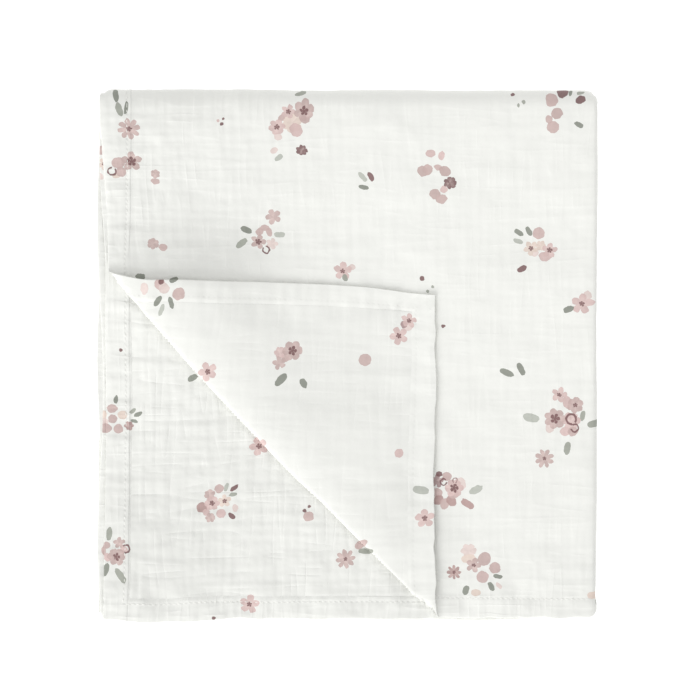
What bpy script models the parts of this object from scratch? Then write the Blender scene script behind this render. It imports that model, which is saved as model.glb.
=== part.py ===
"""A muslin swaddle blanket, folded to a sixteenth, with the corner of its top layer turned back.

The cloth is made flat, as one thin slab with its first corner at the origin, its length along X and Y.
Its hems are then eased a few millimetres in or out, and four folds, each turning the far half under the
near one, bring it to a packet of sixteen layers. Every fold is a map of space, so the layers stay a little
apart and turn round each other at the creases. Last, the first corner, which is then the lower left
corner of the top layer, rolls up and over its slanting crease and comes down on the packet.

Units are metres, +Z is up, and the origin is under the middle of the packet. Seen from above, the thick
rolled fold runs along the far side (+Y), the two thinner ones along the right (+X), and the hems lie at
the left and in front.
"""

from typing import NamedTuple

import bmesh
import bpy
import numpy as np

# The packet as it lies
PACKET_WIDTH = 0.2968
PACKET_LENGTH = 0.3170
CLOTH = 0.0010
GAP = 0.00035
PITCH = CLOTH + GAP

# Facets
PANEL_CELLS = 4
ROLL_FACETS = 8
ROLL_STEPS = 200
LANDING_FACETS = 3

# The out-of-square corners of the top two layers, as insets from the square packet
TOP_SIDE_INSET = 0.0050
TOP_FRONT_INSET = 0.0087
TOP_FRONT_REACH = 0.2025
SECOND_SIDE_INSET = 0.0033
SECOND_FRONT_INSET = -0.0012
SIDE_EASE = 0.1100

# The hems of the other layers wander in and out, and draw in where they turn with the far roll
HEM_WANDER = 0.0018
HEM_WAVES = 6.5
TURN_INSET = 0.0030
TURN_WIDTH = 0.0160

# The right-hand folds lie a little further in at the front
FRONT_TAPER = 0.0018

# The turned corner: its crease runs from the left hem to the front hem of the top layer
CREASE_LEFT = np.array((0.0057, 0.2076))
CREASE_FRONT = np.array((0.2025, 0.0006))
CREASE_DEPTH = 0.0080
CREASE_RISE = 0.0046
LANDING_RUN = 0.0380
LANDING_GAP = 0.0011

# How much the height of the stack swells and sinks, in slow waves over its width and its length
SWELLS = 0.022

# sRGB 0.952, 0.954, 0.936 in linear light
MUSLIN_COLOUR = (0.893, 0.897, 0.859, 1.0)


def roll_reach(layers):
    """How far the outermost face of a fold bulges past its crease."""
    return layers * PITCH - GAP / 2


class Fold(NamedTuple):
    """One turn of the cloth under itself."""

    across: int  # 0 turns the right half under, 1 the far half
    crease: float  # where the turn starts, from the first edge
    layers: int  # how many layers turn together
    facets: int  # facets round the turn

    @property
    def turn(self):
        """The cloth that the turn takes up, along its middle layer."""
        return np.pi * self.layers * PITCH / 2


def before(quarter, layers):
    """The crease of the fold made before the given one, so that its roll comes to lie over the hems."""
    return 2 * quarter.crease + quarter.turn - roll_reach(layers)


QUARTER_WIDTH = Fold(across=0, crease=PACKET_WIDTH - roll_reach(4), layers=4, facets=8)
HALF_WIDTH = Fold(across=0, crease=before(QUARTER_WIDTH, 1), layers=1, facets=4)
QUARTER_LENGTH = Fold(across=1, crease=PACKET_LENGTH - roll_reach(8), layers=8, facets=10)
HALF_LENGTH = Fold(across=1, crease=before(QUARTER_LENGTH, 2), layers=2, facets=6)
FOLDS = (HALF_WIDTH, HALF_LENGTH, QUARTER_WIDTH, QUARTER_LENGTH)
CLOTH_WIDTH = 2 * HALF_WIDTH.crease + HALF_WIDTH.turn
CLOTH_LENGTH = 2 * HALF_LENGTH.crease + HALF_LENGTH.turn


class Swell(NamedTuple):
    """A slow wave in the height of the stack, over the packet's width or length."""

    half_waves: float
    phase: float

    def at(self, place):
        return np.sin(self.half_waves * np.pi * place + self.phase)


WIDTH_SWELL = Swell(half_waves=2.3, phase=0.6)
LENGTH_SWELL = Swell(half_waves=1.8, phase=-0.9)


def evenly(start, end, cells):
    return np.linspace(start, end, cells + 1)


def grid_lines(half, quarter, size):
    """The places of the grid's lines along one side of the flat cloth, with one on each facet's edge."""
    turned = quarter.crease + quarter.turn
    near = np.concatenate(
        [
            evenly(0, quarter.crease, PANEL_CELLS),
            evenly(quarter.crease, turned, quarter.facets),
            evenly(turned, half.crease, PANEL_CELLS),
        ]
    )
    middle = evenly(half.crease, size - half.crease, half.facets)
    return np.unique(np.round(np.concatenate([near, middle, size - near]), 9))


def smooth_step(value):
    value = np.clip(value, 0, 1)
    return value * value * (3 - 2 * value)


def fade_in(distance, over):
    """1 on a hem, falling evenly to 0 at the given distance inside it."""
    return np.clip(1 - distance / over, 0, 1)


def ease_hems(points):
    """Moves the flat cloth's hems a few millimetres in or out, to where they lie in the packet."""
    across, along = points[:, 0], points[:, 1]
    top_two = smooth_step((QUARTER_LENGTH.crease - along) / SIDE_EASE)
    side_wander = HEM_WANDER * np.sin(HEM_WAVES * 2 * np.pi * along / CLOTH_LENGTH) * (1 - top_two)
    far_turn = QUARTER_LENGTH.crease + QUARTER_LENGTH.turn / 2
    to_turn = np.minimum(abs(along - far_turn), abs(CLOTH_LENGTH - along - far_turn))
    turn_inset = TURN_INSET * np.exp(-((to_turn / TURN_WIDTH) ** 2))
    first_inset = TOP_SIDE_INSET * top_two + turn_inset + side_wander
    last_inset = SECOND_SIDE_INSET * top_two + turn_inset - side_wander
    between = (across - QUARTER_WIDTH.crease) / (CLOTH_WIDTH - 2 * QUARTER_WIDTH.crease)
    end_wander = HEM_WANDER * np.sin(HEM_WAVES * 2 * np.pi * across / CLOTH_WIDTH)
    front_inset = (
        TOP_FRONT_INSET * fade_in(across, TOP_FRONT_REACH)
        + SECOND_FRONT_INSET * fade_in(CLOTH_WIDTH - across, QUARTER_WIDTH.crease)
        + end_wander * np.sin(np.pi * np.clip(between, 0, 1))
    )
    eased = points.copy()
    eased[:, 0] += first_inset * fade_in(across, QUARTER_WIDTH.crease)
    eased[:, 0] -= last_inset * fade_in(CLOTH_WIDTH - across, QUARTER_WIDTH.crease)
    eased[:, 1] += front_inset * fade_in(along, QUARTER_LENGTH.crease)
    eased[:, 1] += end_wander * fade_in(CLOTH_LENGTH - along, QUARTER_LENGTH.crease)
    return eased


def crease_frame():
    """A point on the turned corner's leading edge, and the flat direction from there to the corner."""
    run = CREASE_FRONT - CREASE_LEFT
    run /= np.linalg.norm(run)
    return CREASE_LEFT, np.array((run[1], -run[0]))


def past_crease(points):
    """Each point's distance past the leading edge of the turned corner, towards the corner."""
    start, to_corner = crease_frame()
    return (points[:, :2] - start) @ to_corner


def corner_roll():
    """The roll at the turned corner's crease: half an oval, as angles and the cloth's length to each."""
    angle = evenly(0, np.pi, ROLL_STEPS)
    outline = np.column_stack([CREASE_DEPTH * np.sin(angle), -CREASE_RISE * np.cos(angle)])
    steps = np.linalg.norm(np.diff(outline, axis=0), axis=1)
    return angle, np.concatenate([[0], np.cumsum(steps)])


def corner_cuts():
    """Distances past the leading edge where the turned corner needs an edge between facets."""
    angle, length = corner_roll()
    roll = np.interp(evenly(0, np.pi, ROLL_FACETS), angle, length) - CREASE_DEPTH
    landing = evenly(roll[-1], roll[-1] + LANDING_RUN, LANDING_FACETS)
    return np.unique(np.concatenate([roll, landing]))


def in_first_panel(points):
    return (points[:, 0] < QUARTER_WIDTH.crease) & (points[:, 1] < QUARTER_LENGTH.crease)


def fold_under(points, fold, top, bottom):
    """Turns what lies past the crease under the rest. top and bottom bound the stack before the fold."""
    axis = bottom - GAP / 2
    past = points[:, fold.across] - fold.crease
    angle = np.clip(past / fold.turn, 0, 1) * np.pi
    radius = points[:, 2] - axis
    turned = points.copy()
    turned[:, fold.across] = (
        fold.crease
        + radius * np.sin(angle)
        + np.minimum(past, 0)
        - np.maximum(past - fold.turn, 0)
    )
    turned[:, 2] = axis + radius * np.cos(angle)
    return turned, top, 2 * axis - top


def turn_corner_back(points, moving, middle):
    """Rolls the first corner up round its crease and lays it down. middle is the top layer's mid height."""
    angles, lengths = corner_roll()
    past = past_crease(points)
    travelled = past + CREASE_DEPTH
    angle = np.interp(travelled, lengths, angles)
    beyond = np.maximum(travelled - lengths[-1], 0)
    sine, cosine = np.sin(angle), np.cos(angle)
    offset = (points[:, 2] - middle) / np.hypot(CREASE_RISE * sine, CREASE_DEPTH * cosine)
    rolled_to = CREASE_DEPTH * (sine - 1) - CREASE_RISE * sine * offset - beyond
    height = middle + CREASE_RISE * (1 - cosine) + CREASE_DEPTH * cosine * offset
    drop = 2 * CREASE_RISE - CLOTH - LANDING_GAP
    height -= drop * smooth_step(beyond / LANDING_RUN)
    rolls = moving & (travelled > 0)
    turned = points.copy()
    turned[rolls, :2] += np.outer(rolled_to - past, crease_frame()[1])[rolls]
    turned[rolls, 2] = height[rolls]
    return turned


def settle(points, base):
    """Lets the loose stack swell and sink a little, with its flat underside at zero height."""
    across, along = points[:, 0] / PACKET_WIDTH, points[:, 1] / PACKET_LENGTH
    swelling = SWELLS * (WIDTH_SWELL.at(across) + LENGTH_SWELL.at(along)) / 2
    settled = points.copy()
    settled[:, 0] -= FRONT_TAPER * across * (1 - along)
    settled[:, 2] = (points[:, 2] - base) * (1 + swelling)
    return settled


def folded(flat):
    """Folds the points of the flat cloth, and puts the packet's middle over the origin."""
    points, top, bottom = flat, CLOTH / 2, -CLOTH / 2
    first_panel = in_first_panel(flat)
    for fold in FOLDS:
        points, top, bottom = fold_under(points, fold, top, bottom)
    points = turn_corner_back(points, first_panel, top - CLOTH / 2)
    points = settle(points, bottom)
    middle = (points.min(axis=0) + points.max(axis=0)) / 2
    return points - (middle[0], middle[1], 0)


def vertex_places(mesh):
    return np.array([vertex.co for vertex in mesh.verts])


def place_vertices(mesh, points):
    for vertex, point in zip(mesh.verts, points):
        vertex.co = point


def flat_cloth(mesh):
    """Fills the mesh with the flat cloth's upper face, cut wherever a fold needs an edge."""
    across = grid_lines(HALF_WIDTH, QUARTER_WIDTH, CLOTH_WIDTH)
    along = grid_lines(HALF_LENGTH, QUARTER_LENGTH, CLOTH_LENGTH)
    columns, rows = len(across) - 1, len(along) - 1
    bmesh.ops.create_grid(mesh, x_segments=columns, y_segments=rows, size=1)
    unit = (vertex_places(mesh) + 1) / 2
    column = np.rint(unit[:, 0] * columns).astype(int)
    row = np.rint(unit[:, 1] * rows).astype(int)
    height = np.full(len(unit), CLOTH / 2)
    place_vertices(mesh, ease_hems(np.column_stack([across[column], along[row], height])))


def cut_corner(mesh):
    """Cuts the first panel's faces along lines beside the turned corner's crease."""
    start, to_corner = crease_frame()
    for distance in corner_cuts():
        on_line = start + to_corner * distance
        centres = np.array([face.calc_center_median() for face in mesh.faces])
        panel = [face for face, inside in zip(mesh.faces, in_first_panel(centres)) if inside]
        edges = {edge for face in panel for edge in face.edges}
        corners = {vertex for face in panel for vertex in face.verts}
        bmesh.ops.bisect_plane(
            mesh,
            geom=panel + list(edges) + list(corners),
            dist=1e-6,
            plane_co=(*on_line, 0),
            plane_no=(*to_corner, 0),
        )


def thicken(mesh):
    """Gives the flat cloth its thickness, downwards, and closes it all round."""
    faces = mesh.faces[:]
    lower = bmesh.ops.extrude_face_region(mesh, geom=faces, use_keep_orig=True)["geom"]
    moved = [part for part in lower if isinstance(part, bmesh.types.BMVert)]
    bmesh.ops.translate(mesh, verts=moved, vec=(0, 0, -CLOTH))
    bmesh.ops.recalc_face_normals(mesh, faces=mesh.faces[:])
    bmesh.ops.triangulate(mesh, faces=mesh.faces[:], quad_method="BEAUTY", ngon_method="BEAUTY")


def muslin():
    material = bpy.data.materials.new("Muslin")
    material.use_nodes = True
    shader = material.node_tree.nodes["Principled BSDF"]
    shader.inputs["Base Color"].default_value = MUSLIN_COLOUR
    shader.inputs["Roughness"].default_value = 0.9
    shader.inputs["Metallic"].default_value = 0.0
    return material


def make_blanket():
    mesh = bmesh.new()
    flat_cloth(mesh)
    cut_corner(mesh)
    thicken(mesh)
    place_vertices(mesh, folded(vertex_places(mesh)))
    data = bpy.data.meshes.new("Blanket")
    mesh.to_mesh(data)
    mesh.free()
    data.materials.append(muslin())
    blanket = bpy.data.objects.new("blanket", data)
    bpy.context.scene.collection.objects.link(blanket)


def main():
    for thing in list(bpy.data.objects):
        bpy.data.objects.remove(thing)
    make_blanket()


main()
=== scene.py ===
"""The looks of the folded muslin swaddle blanket: its cloth, hems, stitching and print, and a plain stage.

The cloth is one flat sheet, 1.18 by 1.26 m, with its turned hems, gathers and puckers. It is folded by the
same maps of space as the CAD packet, four folds and one turned corner, and then allowed to lie unevenly.
Its print is drawn by the muslin's material, from places that each face carries for the motifs that cross it.

Units are metres in the part's frame: +Z is up, the thick roll lies at +Y and the hems at -X and -Y.
"""

import math
from typing import NamedTuple

import bmesh
import bpy
import numpy as np
from mathutils import Matrix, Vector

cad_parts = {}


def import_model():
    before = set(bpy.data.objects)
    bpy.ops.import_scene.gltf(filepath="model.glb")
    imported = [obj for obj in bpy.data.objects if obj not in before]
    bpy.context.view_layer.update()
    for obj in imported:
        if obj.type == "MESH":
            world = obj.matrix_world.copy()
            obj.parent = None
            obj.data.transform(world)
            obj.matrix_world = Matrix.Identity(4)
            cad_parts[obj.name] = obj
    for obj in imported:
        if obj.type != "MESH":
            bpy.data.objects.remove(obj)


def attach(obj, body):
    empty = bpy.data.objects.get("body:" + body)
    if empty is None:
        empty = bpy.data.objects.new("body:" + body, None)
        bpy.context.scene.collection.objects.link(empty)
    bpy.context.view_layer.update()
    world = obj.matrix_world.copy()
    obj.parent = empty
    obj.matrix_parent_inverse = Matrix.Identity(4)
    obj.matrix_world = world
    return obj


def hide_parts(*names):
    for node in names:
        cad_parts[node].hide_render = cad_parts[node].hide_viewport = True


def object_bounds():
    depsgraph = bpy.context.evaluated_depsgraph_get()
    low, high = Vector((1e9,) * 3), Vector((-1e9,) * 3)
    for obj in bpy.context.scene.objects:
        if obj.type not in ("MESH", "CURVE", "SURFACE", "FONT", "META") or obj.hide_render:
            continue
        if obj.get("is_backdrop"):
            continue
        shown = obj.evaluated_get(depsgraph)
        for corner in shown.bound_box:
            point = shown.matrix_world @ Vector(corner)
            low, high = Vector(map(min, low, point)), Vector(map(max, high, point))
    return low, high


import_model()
CAD_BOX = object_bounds()
BODY = "root"
CAD_NODE = "blanket"

bl_info = {
    "name": "Folded Muslin Swaddle",
    "version": (1, 0, 0),
    "blender": (4, 5, 0),
    "location": "View3D > Sidebar > Swaddle",
    "description": "Folds, sews and prints a muslin swaddle blanket on its CAD packet",
    "category": "Object",
}

# Metres in a millimetre
MM = 0.001

# The packet as the CAD folds it: its outline, the cloth's thickness, the gap between layers, and its place
PACKET_WIDTH = 0.2968
PACKET_LENGTH = 0.3170
CLOTH = 0.0010
GAP = 0.00035
PITCH = CLOTH + GAP
STACK_LAYERS = 16
PACKET_TO_FRAME = np.array((-0.147491, -0.157600, 0))

# The turned corner: its crease runs from the left hem to the front hem of the top layer
CREASE_LEFT = np.array((0.0057, 0.2076))
CREASE_FRONT = np.array((0.2025, 0.0006))
CREASE_RUN = CREASE_FRONT - CREASE_LEFT
CREASE_LENGTH = np.linalg.norm(CREASE_RUN)
TO_CORNER = np.array((CREASE_RUN[1], -CREASE_RUN[0])) / CREASE_LENGTH


def metres(name, description, default):
    """A size property."""
    return bpy.props.FloatProperty(name=name, description=description, default=default, unit="LENGTH")


def degrees(name, description, default):
    """An angle property, given in degrees."""
    default = math.radians(default)
    return bpy.props.FloatProperty(name=name, description=description, default=default, subtype="ANGLE")


class ClothSizes(bpy.types.PropertyGroup):
    """Sizes of the hems, the puckers and the turned corner."""

    hem_half: metres("Hem half thickness", "Half the thickness of the turned hem", 0.00045)
    allowance: metres("Allowance", "How far the turned hem reaches past its stitches", 0.0025)
    groove: metres("Stitch groove", "How deep the stitches pull the hem in", 0.00020)
    pucker: metres("Pucker height", "Height of the gauze's small puckers", 0.00040)
    gather: metres("Gather height", "Height of the gathers that run in from the stitches", 0.00040)
    swell: metres("Swell height", "Height of the slow unevenness of the whole stack", 0.0008)
    crease_bow: metres("Crease bow", "How far the corner's crease bows out in its middle", 0.0052)
    crease_rise: metres("Crease rise", "Half the height of the turned corner's roll", 0.0020)
    stitch_pitch: metres("Stitch pitch", "Distance from one stitch to the next", 0.0031)


def paint(name, description, colour):
    """A colour property, given as it looks on a screen."""
    return bpy.props.FloatVectorProperty(
        name=name,
        description=description,
        default=colour,
        size=3,
        min=0,
        max=1,
        subtype="COLOR_GAMMA",
    )


class ClothColours(bpy.types.PropertyGroup):
    """Colours of the muslin, its thread and the print's inks."""

    muslin: paint("Muslin", "Ground colour of the cloth", (0.947, 0.949, 0.931))
    thread: paint("Thread", "Sewing thread of the hems", (0.945, 0.945, 0.925))
    rose: paint("Rose", "Deepest pink of the flowers", (0.705, 0.588, 0.574))
    dusty: paint("Dusty pink", "Commonest pink of the flowers", (0.780, 0.688, 0.672))
    pink: paint("Pink", "Lighter pink of the flowers", (0.842, 0.740, 0.726))
    blush: paint("Blush", "Palest pink of the flowers", (0.890, 0.822, 0.802))
    peach: paint("Peach", "Warm pale flowers", (0.882, 0.815, 0.772))
    plum: paint("Plum", "Dark buds, dots and hearts", (0.505, 0.380, 0.380))
    mauve: paint("Mauve", "Muted buds and petals", (0.655, 0.550, 0.548))
    moss: paint("Moss", "Darkest leaves", (0.542, 0.556, 0.518))
    sage: paint("Sage", "Middle green of the leaves", (0.640, 0.652, 0.612))
    mist: paint("Mist", "Palest leaves", (0.722, 0.734, 0.700))
    washed: paint("Washed out", "What the petals fade to inside", (0.885, 0.815, 0.790))


class StageSizes(bpy.types.PropertyGroup):
    """Sizes and strengths of the stage."""

    view_width: metres("View width", "What the camera takes in, across the packet", 0.4200)
    lens: bpy.props.FloatProperty(
        name="Lens",
        description="Focal length of the camera",
        default=250.0,
        unit="CAMERA",
    )
    key: bpy.props.FloatProperty(
        name="Key light",
        description="Strength of the light from the front left",
        default=1.80,
    )
    key_height: degrees("Key light height", "Height of the key light above the floor", 22)
    key_side: degrees("Key light side", "How far the key light stands left of the front", 38)
    key_softness: degrees("Key light softness", "Angle that the key light spans", 32)
    sky: bpy.props.FloatProperty(
        name="Room light",
        description="Strength of the light from all round",
        default=0.838,
    )


def roll_reach(layers):
    """How far the outermost face of a fold bulges past its crease."""
    return layers * PITCH - GAP / 2


class Fold(NamedTuple):
    """One turn of the cloth under itself."""

    across: int  # 0 turns the right half under, 1 the far half
    crease: float  # where the turn starts, from the first edge
    layers: int  # how many layers turn together
    squareness: float = 2  # 2 for a round turn, more for a squarer one

    @property
    def turn(self):
        """The cloth that the turn takes up, along its middle layer."""
        return np.pi * self.layers * PITCH / 2


def before(quarter, layers):
    """The crease of the fold made before the given one, so that its roll comes to lie over the hems."""
    return 2 * quarter.crease + quarter.turn - roll_reach(layers)


QUARTER_WIDTH = Fold(across=0, crease=PACKET_WIDTH - roll_reach(4), layers=4, squareness=5)
HALF_WIDTH = Fold(across=0, crease=before(QUARTER_WIDTH, 1), layers=1)
QUARTER_LENGTH = Fold(across=1, crease=PACKET_LENGTH - roll_reach(8), layers=8)
HALF_LENGTH = Fold(across=1, crease=before(QUARTER_LENGTH, 2), layers=2)
FOLDS = (HALF_WIDTH, HALF_LENGTH, QUARTER_WIDTH, QUARTER_LENGTH)
CLOTH_WIDTH = 2 * HALF_WIDTH.crease + HALF_WIDTH.turn
CLOTH_LENGTH = 2 * HALF_LENGTH.crease + HALF_LENGTH.turn


def smooth_step(value):
    """A soft rise from 0 to 1."""
    value = np.clip(value, 0, 1)
    return value * value * (3 - 2 * value)


def fade_in(distance, over):
    """1 on an edge, falling evenly to 0 at the given distance inside it."""
    return np.clip(1 - distance / over, 0, 1)


def hump(distance, reach):
    """1 in the middle, fading out both ways. At the reach it is down to 0.37."""
    return np.exp(-((distance / reach) ** 2))


# Cells along each side of the grid of random heights that ripples are drawn from
LATTICE = 97


def ripples(first, second, first_cell, second_cell, seed):
    """Smooth random heights from -1 to 1, one for each cell of the given sizes."""
    lattice = np.random.default_rng(seed).uniform(-1, 1, (LATTICE, LATTICE))
    first, second = first / first_cell, second / second_cell
    column, row = np.floor(first).astype(int), np.floor(second).astype(int)
    right, up = smooth_step(first - column), smooth_step(second - row)

    def corner(i, j):
        return lattice[(column + i) % LATTICE, (row + j) % LATTICE]

    low = corner(0, 0) * (1 - right) + corner(1, 0) * right
    high = corner(0, 1) * (1 - right) + corner(1, 1) * right
    return low * (1 - up) + high * up


# The reach of the second layer from the cloth's last side, how softly it and the turned corner end, and how
# far in from an edge its hem and what changes beside it reach
SECOND_REACH = 0.2700
SECOND_BLEND = 0.0400
CREASE_BLEND = 0.12
HEM_ZONE = 0.0220


def on_second(across):
    """1 on the second layer, falling to 0 inside the packet."""
    return smooth_step((across - CLOTH_WIDTH + SECOND_REACH) / SECOND_BLEND)


def past_crease(across, along):
    """0 on the turned corner's crease, rising to 1 at the cloth's first corner."""
    return 1 - across / CREASE_FRONT[0] - along / CREASE_LEFT[1]


def in_corner(across, along):
    """1 on the corner that is turned back, falling to 0 at its crease."""
    return smooth_step(past_crease(across, along) / CREASE_BLEND)


def beyond_corner(along):
    """0 beside the turned corner, rising to 1 along the side that stays flat."""
    return smooth_step((along - CREASE_LEFT[1]) / HEM_ZONE)


# From each edge to its stitches. The first side's hem widens towards the far roll
FIRST_SIDE_HEM = 0.0093
FIRST_SIDE_WIDENS = 0.0065
WIDENS_FROM = 0.1900
WIDENS_OVER = 0.1200
LAST_SIDE_HEM = 0.0122
END_HEM = 0.0118
SECOND_NARROWS = 0.0014
HEM_WAVER = 0.0005
HEM_WAVER_CELL = 0.0400


class Hem(NamedTuple):
    """How one edge's hem lies: how far and how softly its allowance ends, and its gathers and tucks."""

    allowance: float
    slope: float
    gathers: float
    tucks: float


# The first and the last side, the front and the far end
HEMS = (
    Hem(allowance=1, slope=0.0013, gathers=1.9, tucks=1.1),
    Hem(allowance=1, slope=0.0013, gathers=1.3, tucks=1.1),
    Hem(allowance=0.38, slope=0.0018, gathers=1.3, tucks=2.4),
    Hem(allowance=0.76, slope=0.0013, gathers=1.0, tucks=0.8),
)


def hem_widths(across, along):
    """Distances from the edges to their stitches, in the order of HEMS."""
    first_side = FIRST_SIDE_HEM + FIRST_SIDE_WIDENS * smooth_step((along - WIDENS_FROM) / WIDENS_OVER)
    last_side = np.full_like(along, LAST_SIDE_HEM)
    front = END_HEM - SECOND_NARROWS * on_second(across)
    far_end = np.full_like(across, END_HEM)
    waver = HEM_WAVER * ripples(across + along, across - along, HEM_WAVER_CELL, HEM_WAVER_CELL, seed=11)
    return [width + waver for width in (first_side, last_side, front, far_end)]


def edge_distances(across, along):
    """How far a place lies inside each edge, in the order of HEMS."""
    return [across, CLOTH_WIDTH - across, along, CLOTH_LENGTH - along]


def hem_cover(across, along, sizes):
    """1 where the cloth lies over a turned hem, falling to 0 where the allowance under it ends."""
    cover = np.zeros_like(across)
    for hem, distance, width in zip(HEMS, edge_distances(across, along), hem_widths(across, along)):
        past = distance - width - sizes.allowance * hem.allowance
        cover = np.maximum(cover, 1 - smooth_step(past / hem.slope + 0.5))
    return cover


# How strongly each part of the cloth puckers, and how far that reaches from the edges
SMOOTH_TOP = 0.42
LOOSE_LEFT = 0.95
LEFT_REACH = 0.1500
FRONT_SHARE = 0.7
FRONT_REACH = 0.0600
LOOSE_CORNER = 0.40
LOOSE_CORNER_HEM = 0.50
CORNER_HEM_REACH = 0.0420
LOOSE_SECOND = 1.05


def looseness(across, along):
    """How strongly the cloth puckers: most on the second layer, less beside the top layer's hems."""
    left = 1 - smooth_step(across / LEFT_REACH)
    front = 1 - smooth_step(along / FRONT_REACH)
    top = SMOOTH_TOP + (LOOSE_LEFT - SMOOTH_TOP) * np.maximum(left, FRONT_SHARE * front)
    corner_loose = LOOSE_CORNER + LOOSE_CORNER_HEM * (1 - smooth_step(across / CORNER_HEM_REACH))
    top = top + (corner_loose - top) * in_corner(across, along)
    return top + (LOOSE_SECOND - top) * on_second(across)


def crumpling(across, along):
    """How crumpled the cloth looks: as loose as it is, but even all over the turned corner."""
    loose = looseness(across, along)
    return loose + (LOOSE_CORNER - loose) * in_corner(across, along)


# Painted shade, as a share of the cloth's tone: where it puckers, deep in the turned corner, less so over
# its hem, and along that corner's crest
PAINTED_SHADE_LOOSE = 0.070
PAINTED_SHADE_CORNER = 0.038
CORNER_SHADE_RUN = 0.30
HEM_PALES = 0.8
PAINTED_SHADE_CREST = 0.055
CREST_PAST = 0.035
CREST_RUN = 0.035


class ShadePatch(NamedTuple):
    """A patch of painted shadow on the cloth, fading out from its middle."""

    across: float
    along: float
    reach_across: float
    reach_along: float
    strength: float


# Patches of painted shadow on the cloth
PAINTED_SHADOW_PATCHES = (
    ShadePatch(CLOTH_WIDTH - 0.0400, 0.0500, 0.0450, 0.0450, 0.055),
    ShadePatch(0.0540, 0.2130, 0.0380, 0.0190, 0.048),
    ShadePatch(0.1360, 0.0130, 0.0360, 0.0190, 0.045),
    ShadePatch(0.2900, 0.0450, 0.0900, 0.0900, 0.018),
    ShadePatch(0.2010, 0.0400, 0.0150, 0.0400, 0.055),
)


def painted_shading(across, along, sizes):
    """Painted shade where the cloth puckers, in the turned corner, along its crest and in patches, as a
    share of its tone.
    """
    painted_dark = PAINTED_SHADE_LOOSE * crumpling(across, along)
    past = past_crease(across, along)
    painted_dark += PAINTED_SHADE_CREST * hump(past - CREST_PAST, CREST_RUN)
    deep = smooth_step(past / CORNER_SHADE_RUN)
    painted_dark += PAINTED_SHADE_CORNER * deep * (1 - HEM_PALES * hem_cover(across, along, sizes))
    for patch in PAINTED_SHADOW_PATCHES:
        dark_across = hump(across - patch.across, patch.reach_across)
        dark_along = hump(along - patch.along, patch.reach_along)
        painted_dark += patch.strength * dark_across * dark_along
    return painted_dark


# Gathers and tucks run in from the stitches, bands and blocks are the puckers of the gauze itself, calmer
# over the hems, and the top layer's side droops
GATHER_REACH = 0.0110
GATHER_CELLS = (0.0036, 0.0300)
TUCK_CELLS = (0.0090, 0.0140)
BAND_WIDTH = 0.0048
BAND_LENGTH = 0.0240
BAND_SHARE = 0.55
BLOCK = 0.0075
BLOCK_SHARE = 0.5
HEM_CALMS = 0.35
SIDE_DROOP = 0.0009
SIDE_DROOP_RUN = 0.0080


def undulation(across, along, sizes):
    """Height of the cloth's middle where it lies flat: the gathers beside the stitches, and the puckers."""
    run = (along, along, across, across)
    edges = zip(HEMS, edge_distances(across, along), hem_widths(across, along), run)
    gathers = np.zeros_like(across)
    for number, (hem, distance, width, place) in enumerate(edges):
        beside = np.exp(-abs(distance - width) / GATHER_REACH)
        lines = ripples(place, distance, *GATHER_CELLS, seed=21 + number)
        tucks = ripples(place, distance, *TUCK_CELLS, seed=25 + number)
        gathers += beside * (hem.gathers * lines + hem.tucks * tucks)
    bands = ripples(across, along, BAND_LENGTH, BAND_WIDTH, seed=31)
    bands += ripples(across, along, BAND_WIDTH, BAND_LENGTH, seed=32)
    blocks = ripples(across, along, BLOCK, BLOCK, seed=33)
    calmed = 1 - HEM_CALMS * hem_cover(across, along, sizes)
    puckers = (BAND_SHARE * bands + BLOCK_SHARE * blocks) * calmed
    droop = SIDE_DROOP * fade_in(across, SIDE_DROOP_RUN) ** 2 * beyond_corner(along)
    return (sizes.gather * gathers + sizes.pucker * puckers) * looseness(across, along) - droop


# How full the hem is, how much that varies and over what length, and how wide its stitched groove is
HEM_FULLNESS = 0.82
HEM_VARIES = 0.18
HEM_VARIES_CELL = 0.0500
GROOVE_WIDTH = 0.0009


def face_heights(across, along, sizes):
    """Height of the flat cloth's printed face: raised over the hems and drawn in at their stitches."""
    variation = ripples(across, along, HEM_VARIES_CELL, HEM_VARIES_CELL, seed=35)
    thickness = sizes.hem_half * (HEM_FULLNESS + HEM_VARIES * variation)
    height = undulation(across, along, sizes) + thickness * hem_cover(across, along, sizes)
    for distance, width in zip(edge_distances(across, along), hem_widths(across, along)):
        height -= sizes.groove * hump(distance - width, GROOVE_WIDTH)
    return height


# The mesh's cells: where the cloth shows, in its hems, on the second layer and where it is hidden
FINE_CELL = 0.0017
HEM_CELL = 0.0011
END_HEM_CELL = 0.0024
SECOND_CELL = 0.0030
SECOND_SHOWS = 0.2150
HIDDEN_CELL = 0.0200

# Steps round the turns that don't show: of one layer, of two, and those inside the side and the far roll
ONE_LAYER_STEPS = 5
TWO_LAYER_STEPS = 6
SIDE_ROLL_STEPS = 7
FAR_ROLL_STEPS = 8


def lines_between(start, end, cell):
    """Evenly spaced lines from start to end, no further apart than the cell."""
    return np.linspace(start, end, max(1, math.ceil((end - start) / cell)) + 1)


def grid_lines(marks):
    """Lines through the given places: each row of marks is a place and the cell size from there on."""
    pairs = zip(marks[:-1], marks[1:])
    lines = [lines_between(here, there, cell) for (here, cell), (there, _) in pairs]
    return np.unique(np.round(np.concatenate(lines), 7))


def lines_across(edge):
    """The grid's lines from side to side, between the tangents of the turned edges."""
    quarter, half = QUARTER_WIDTH, HALF_WIDTH
    return grid_lines(
        [
            (edge, HEM_CELL),
            (HEM_ZONE, FINE_CELL),
            (quarter.crease, HEM_CELL),
            (quarter.crease + quarter.turn, HIDDEN_CELL),
            (half.crease, half.turn / ONE_LAYER_STEPS),
            (half.crease + half.turn, HIDDEN_CELL),
            (CLOTH_WIDTH - quarter.crease - quarter.turn, quarter.turn / SIDE_ROLL_STEPS),
            (CLOTH_WIDTH - quarter.crease, HIDDEN_CELL),
            (CLOTH_WIDTH - SECOND_SHOWS, SECOND_CELL),
            (CLOTH_WIDTH - HEM_ZONE, HEM_CELL),
            (CLOTH_WIDTH - edge, None),
        ]
    )


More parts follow.
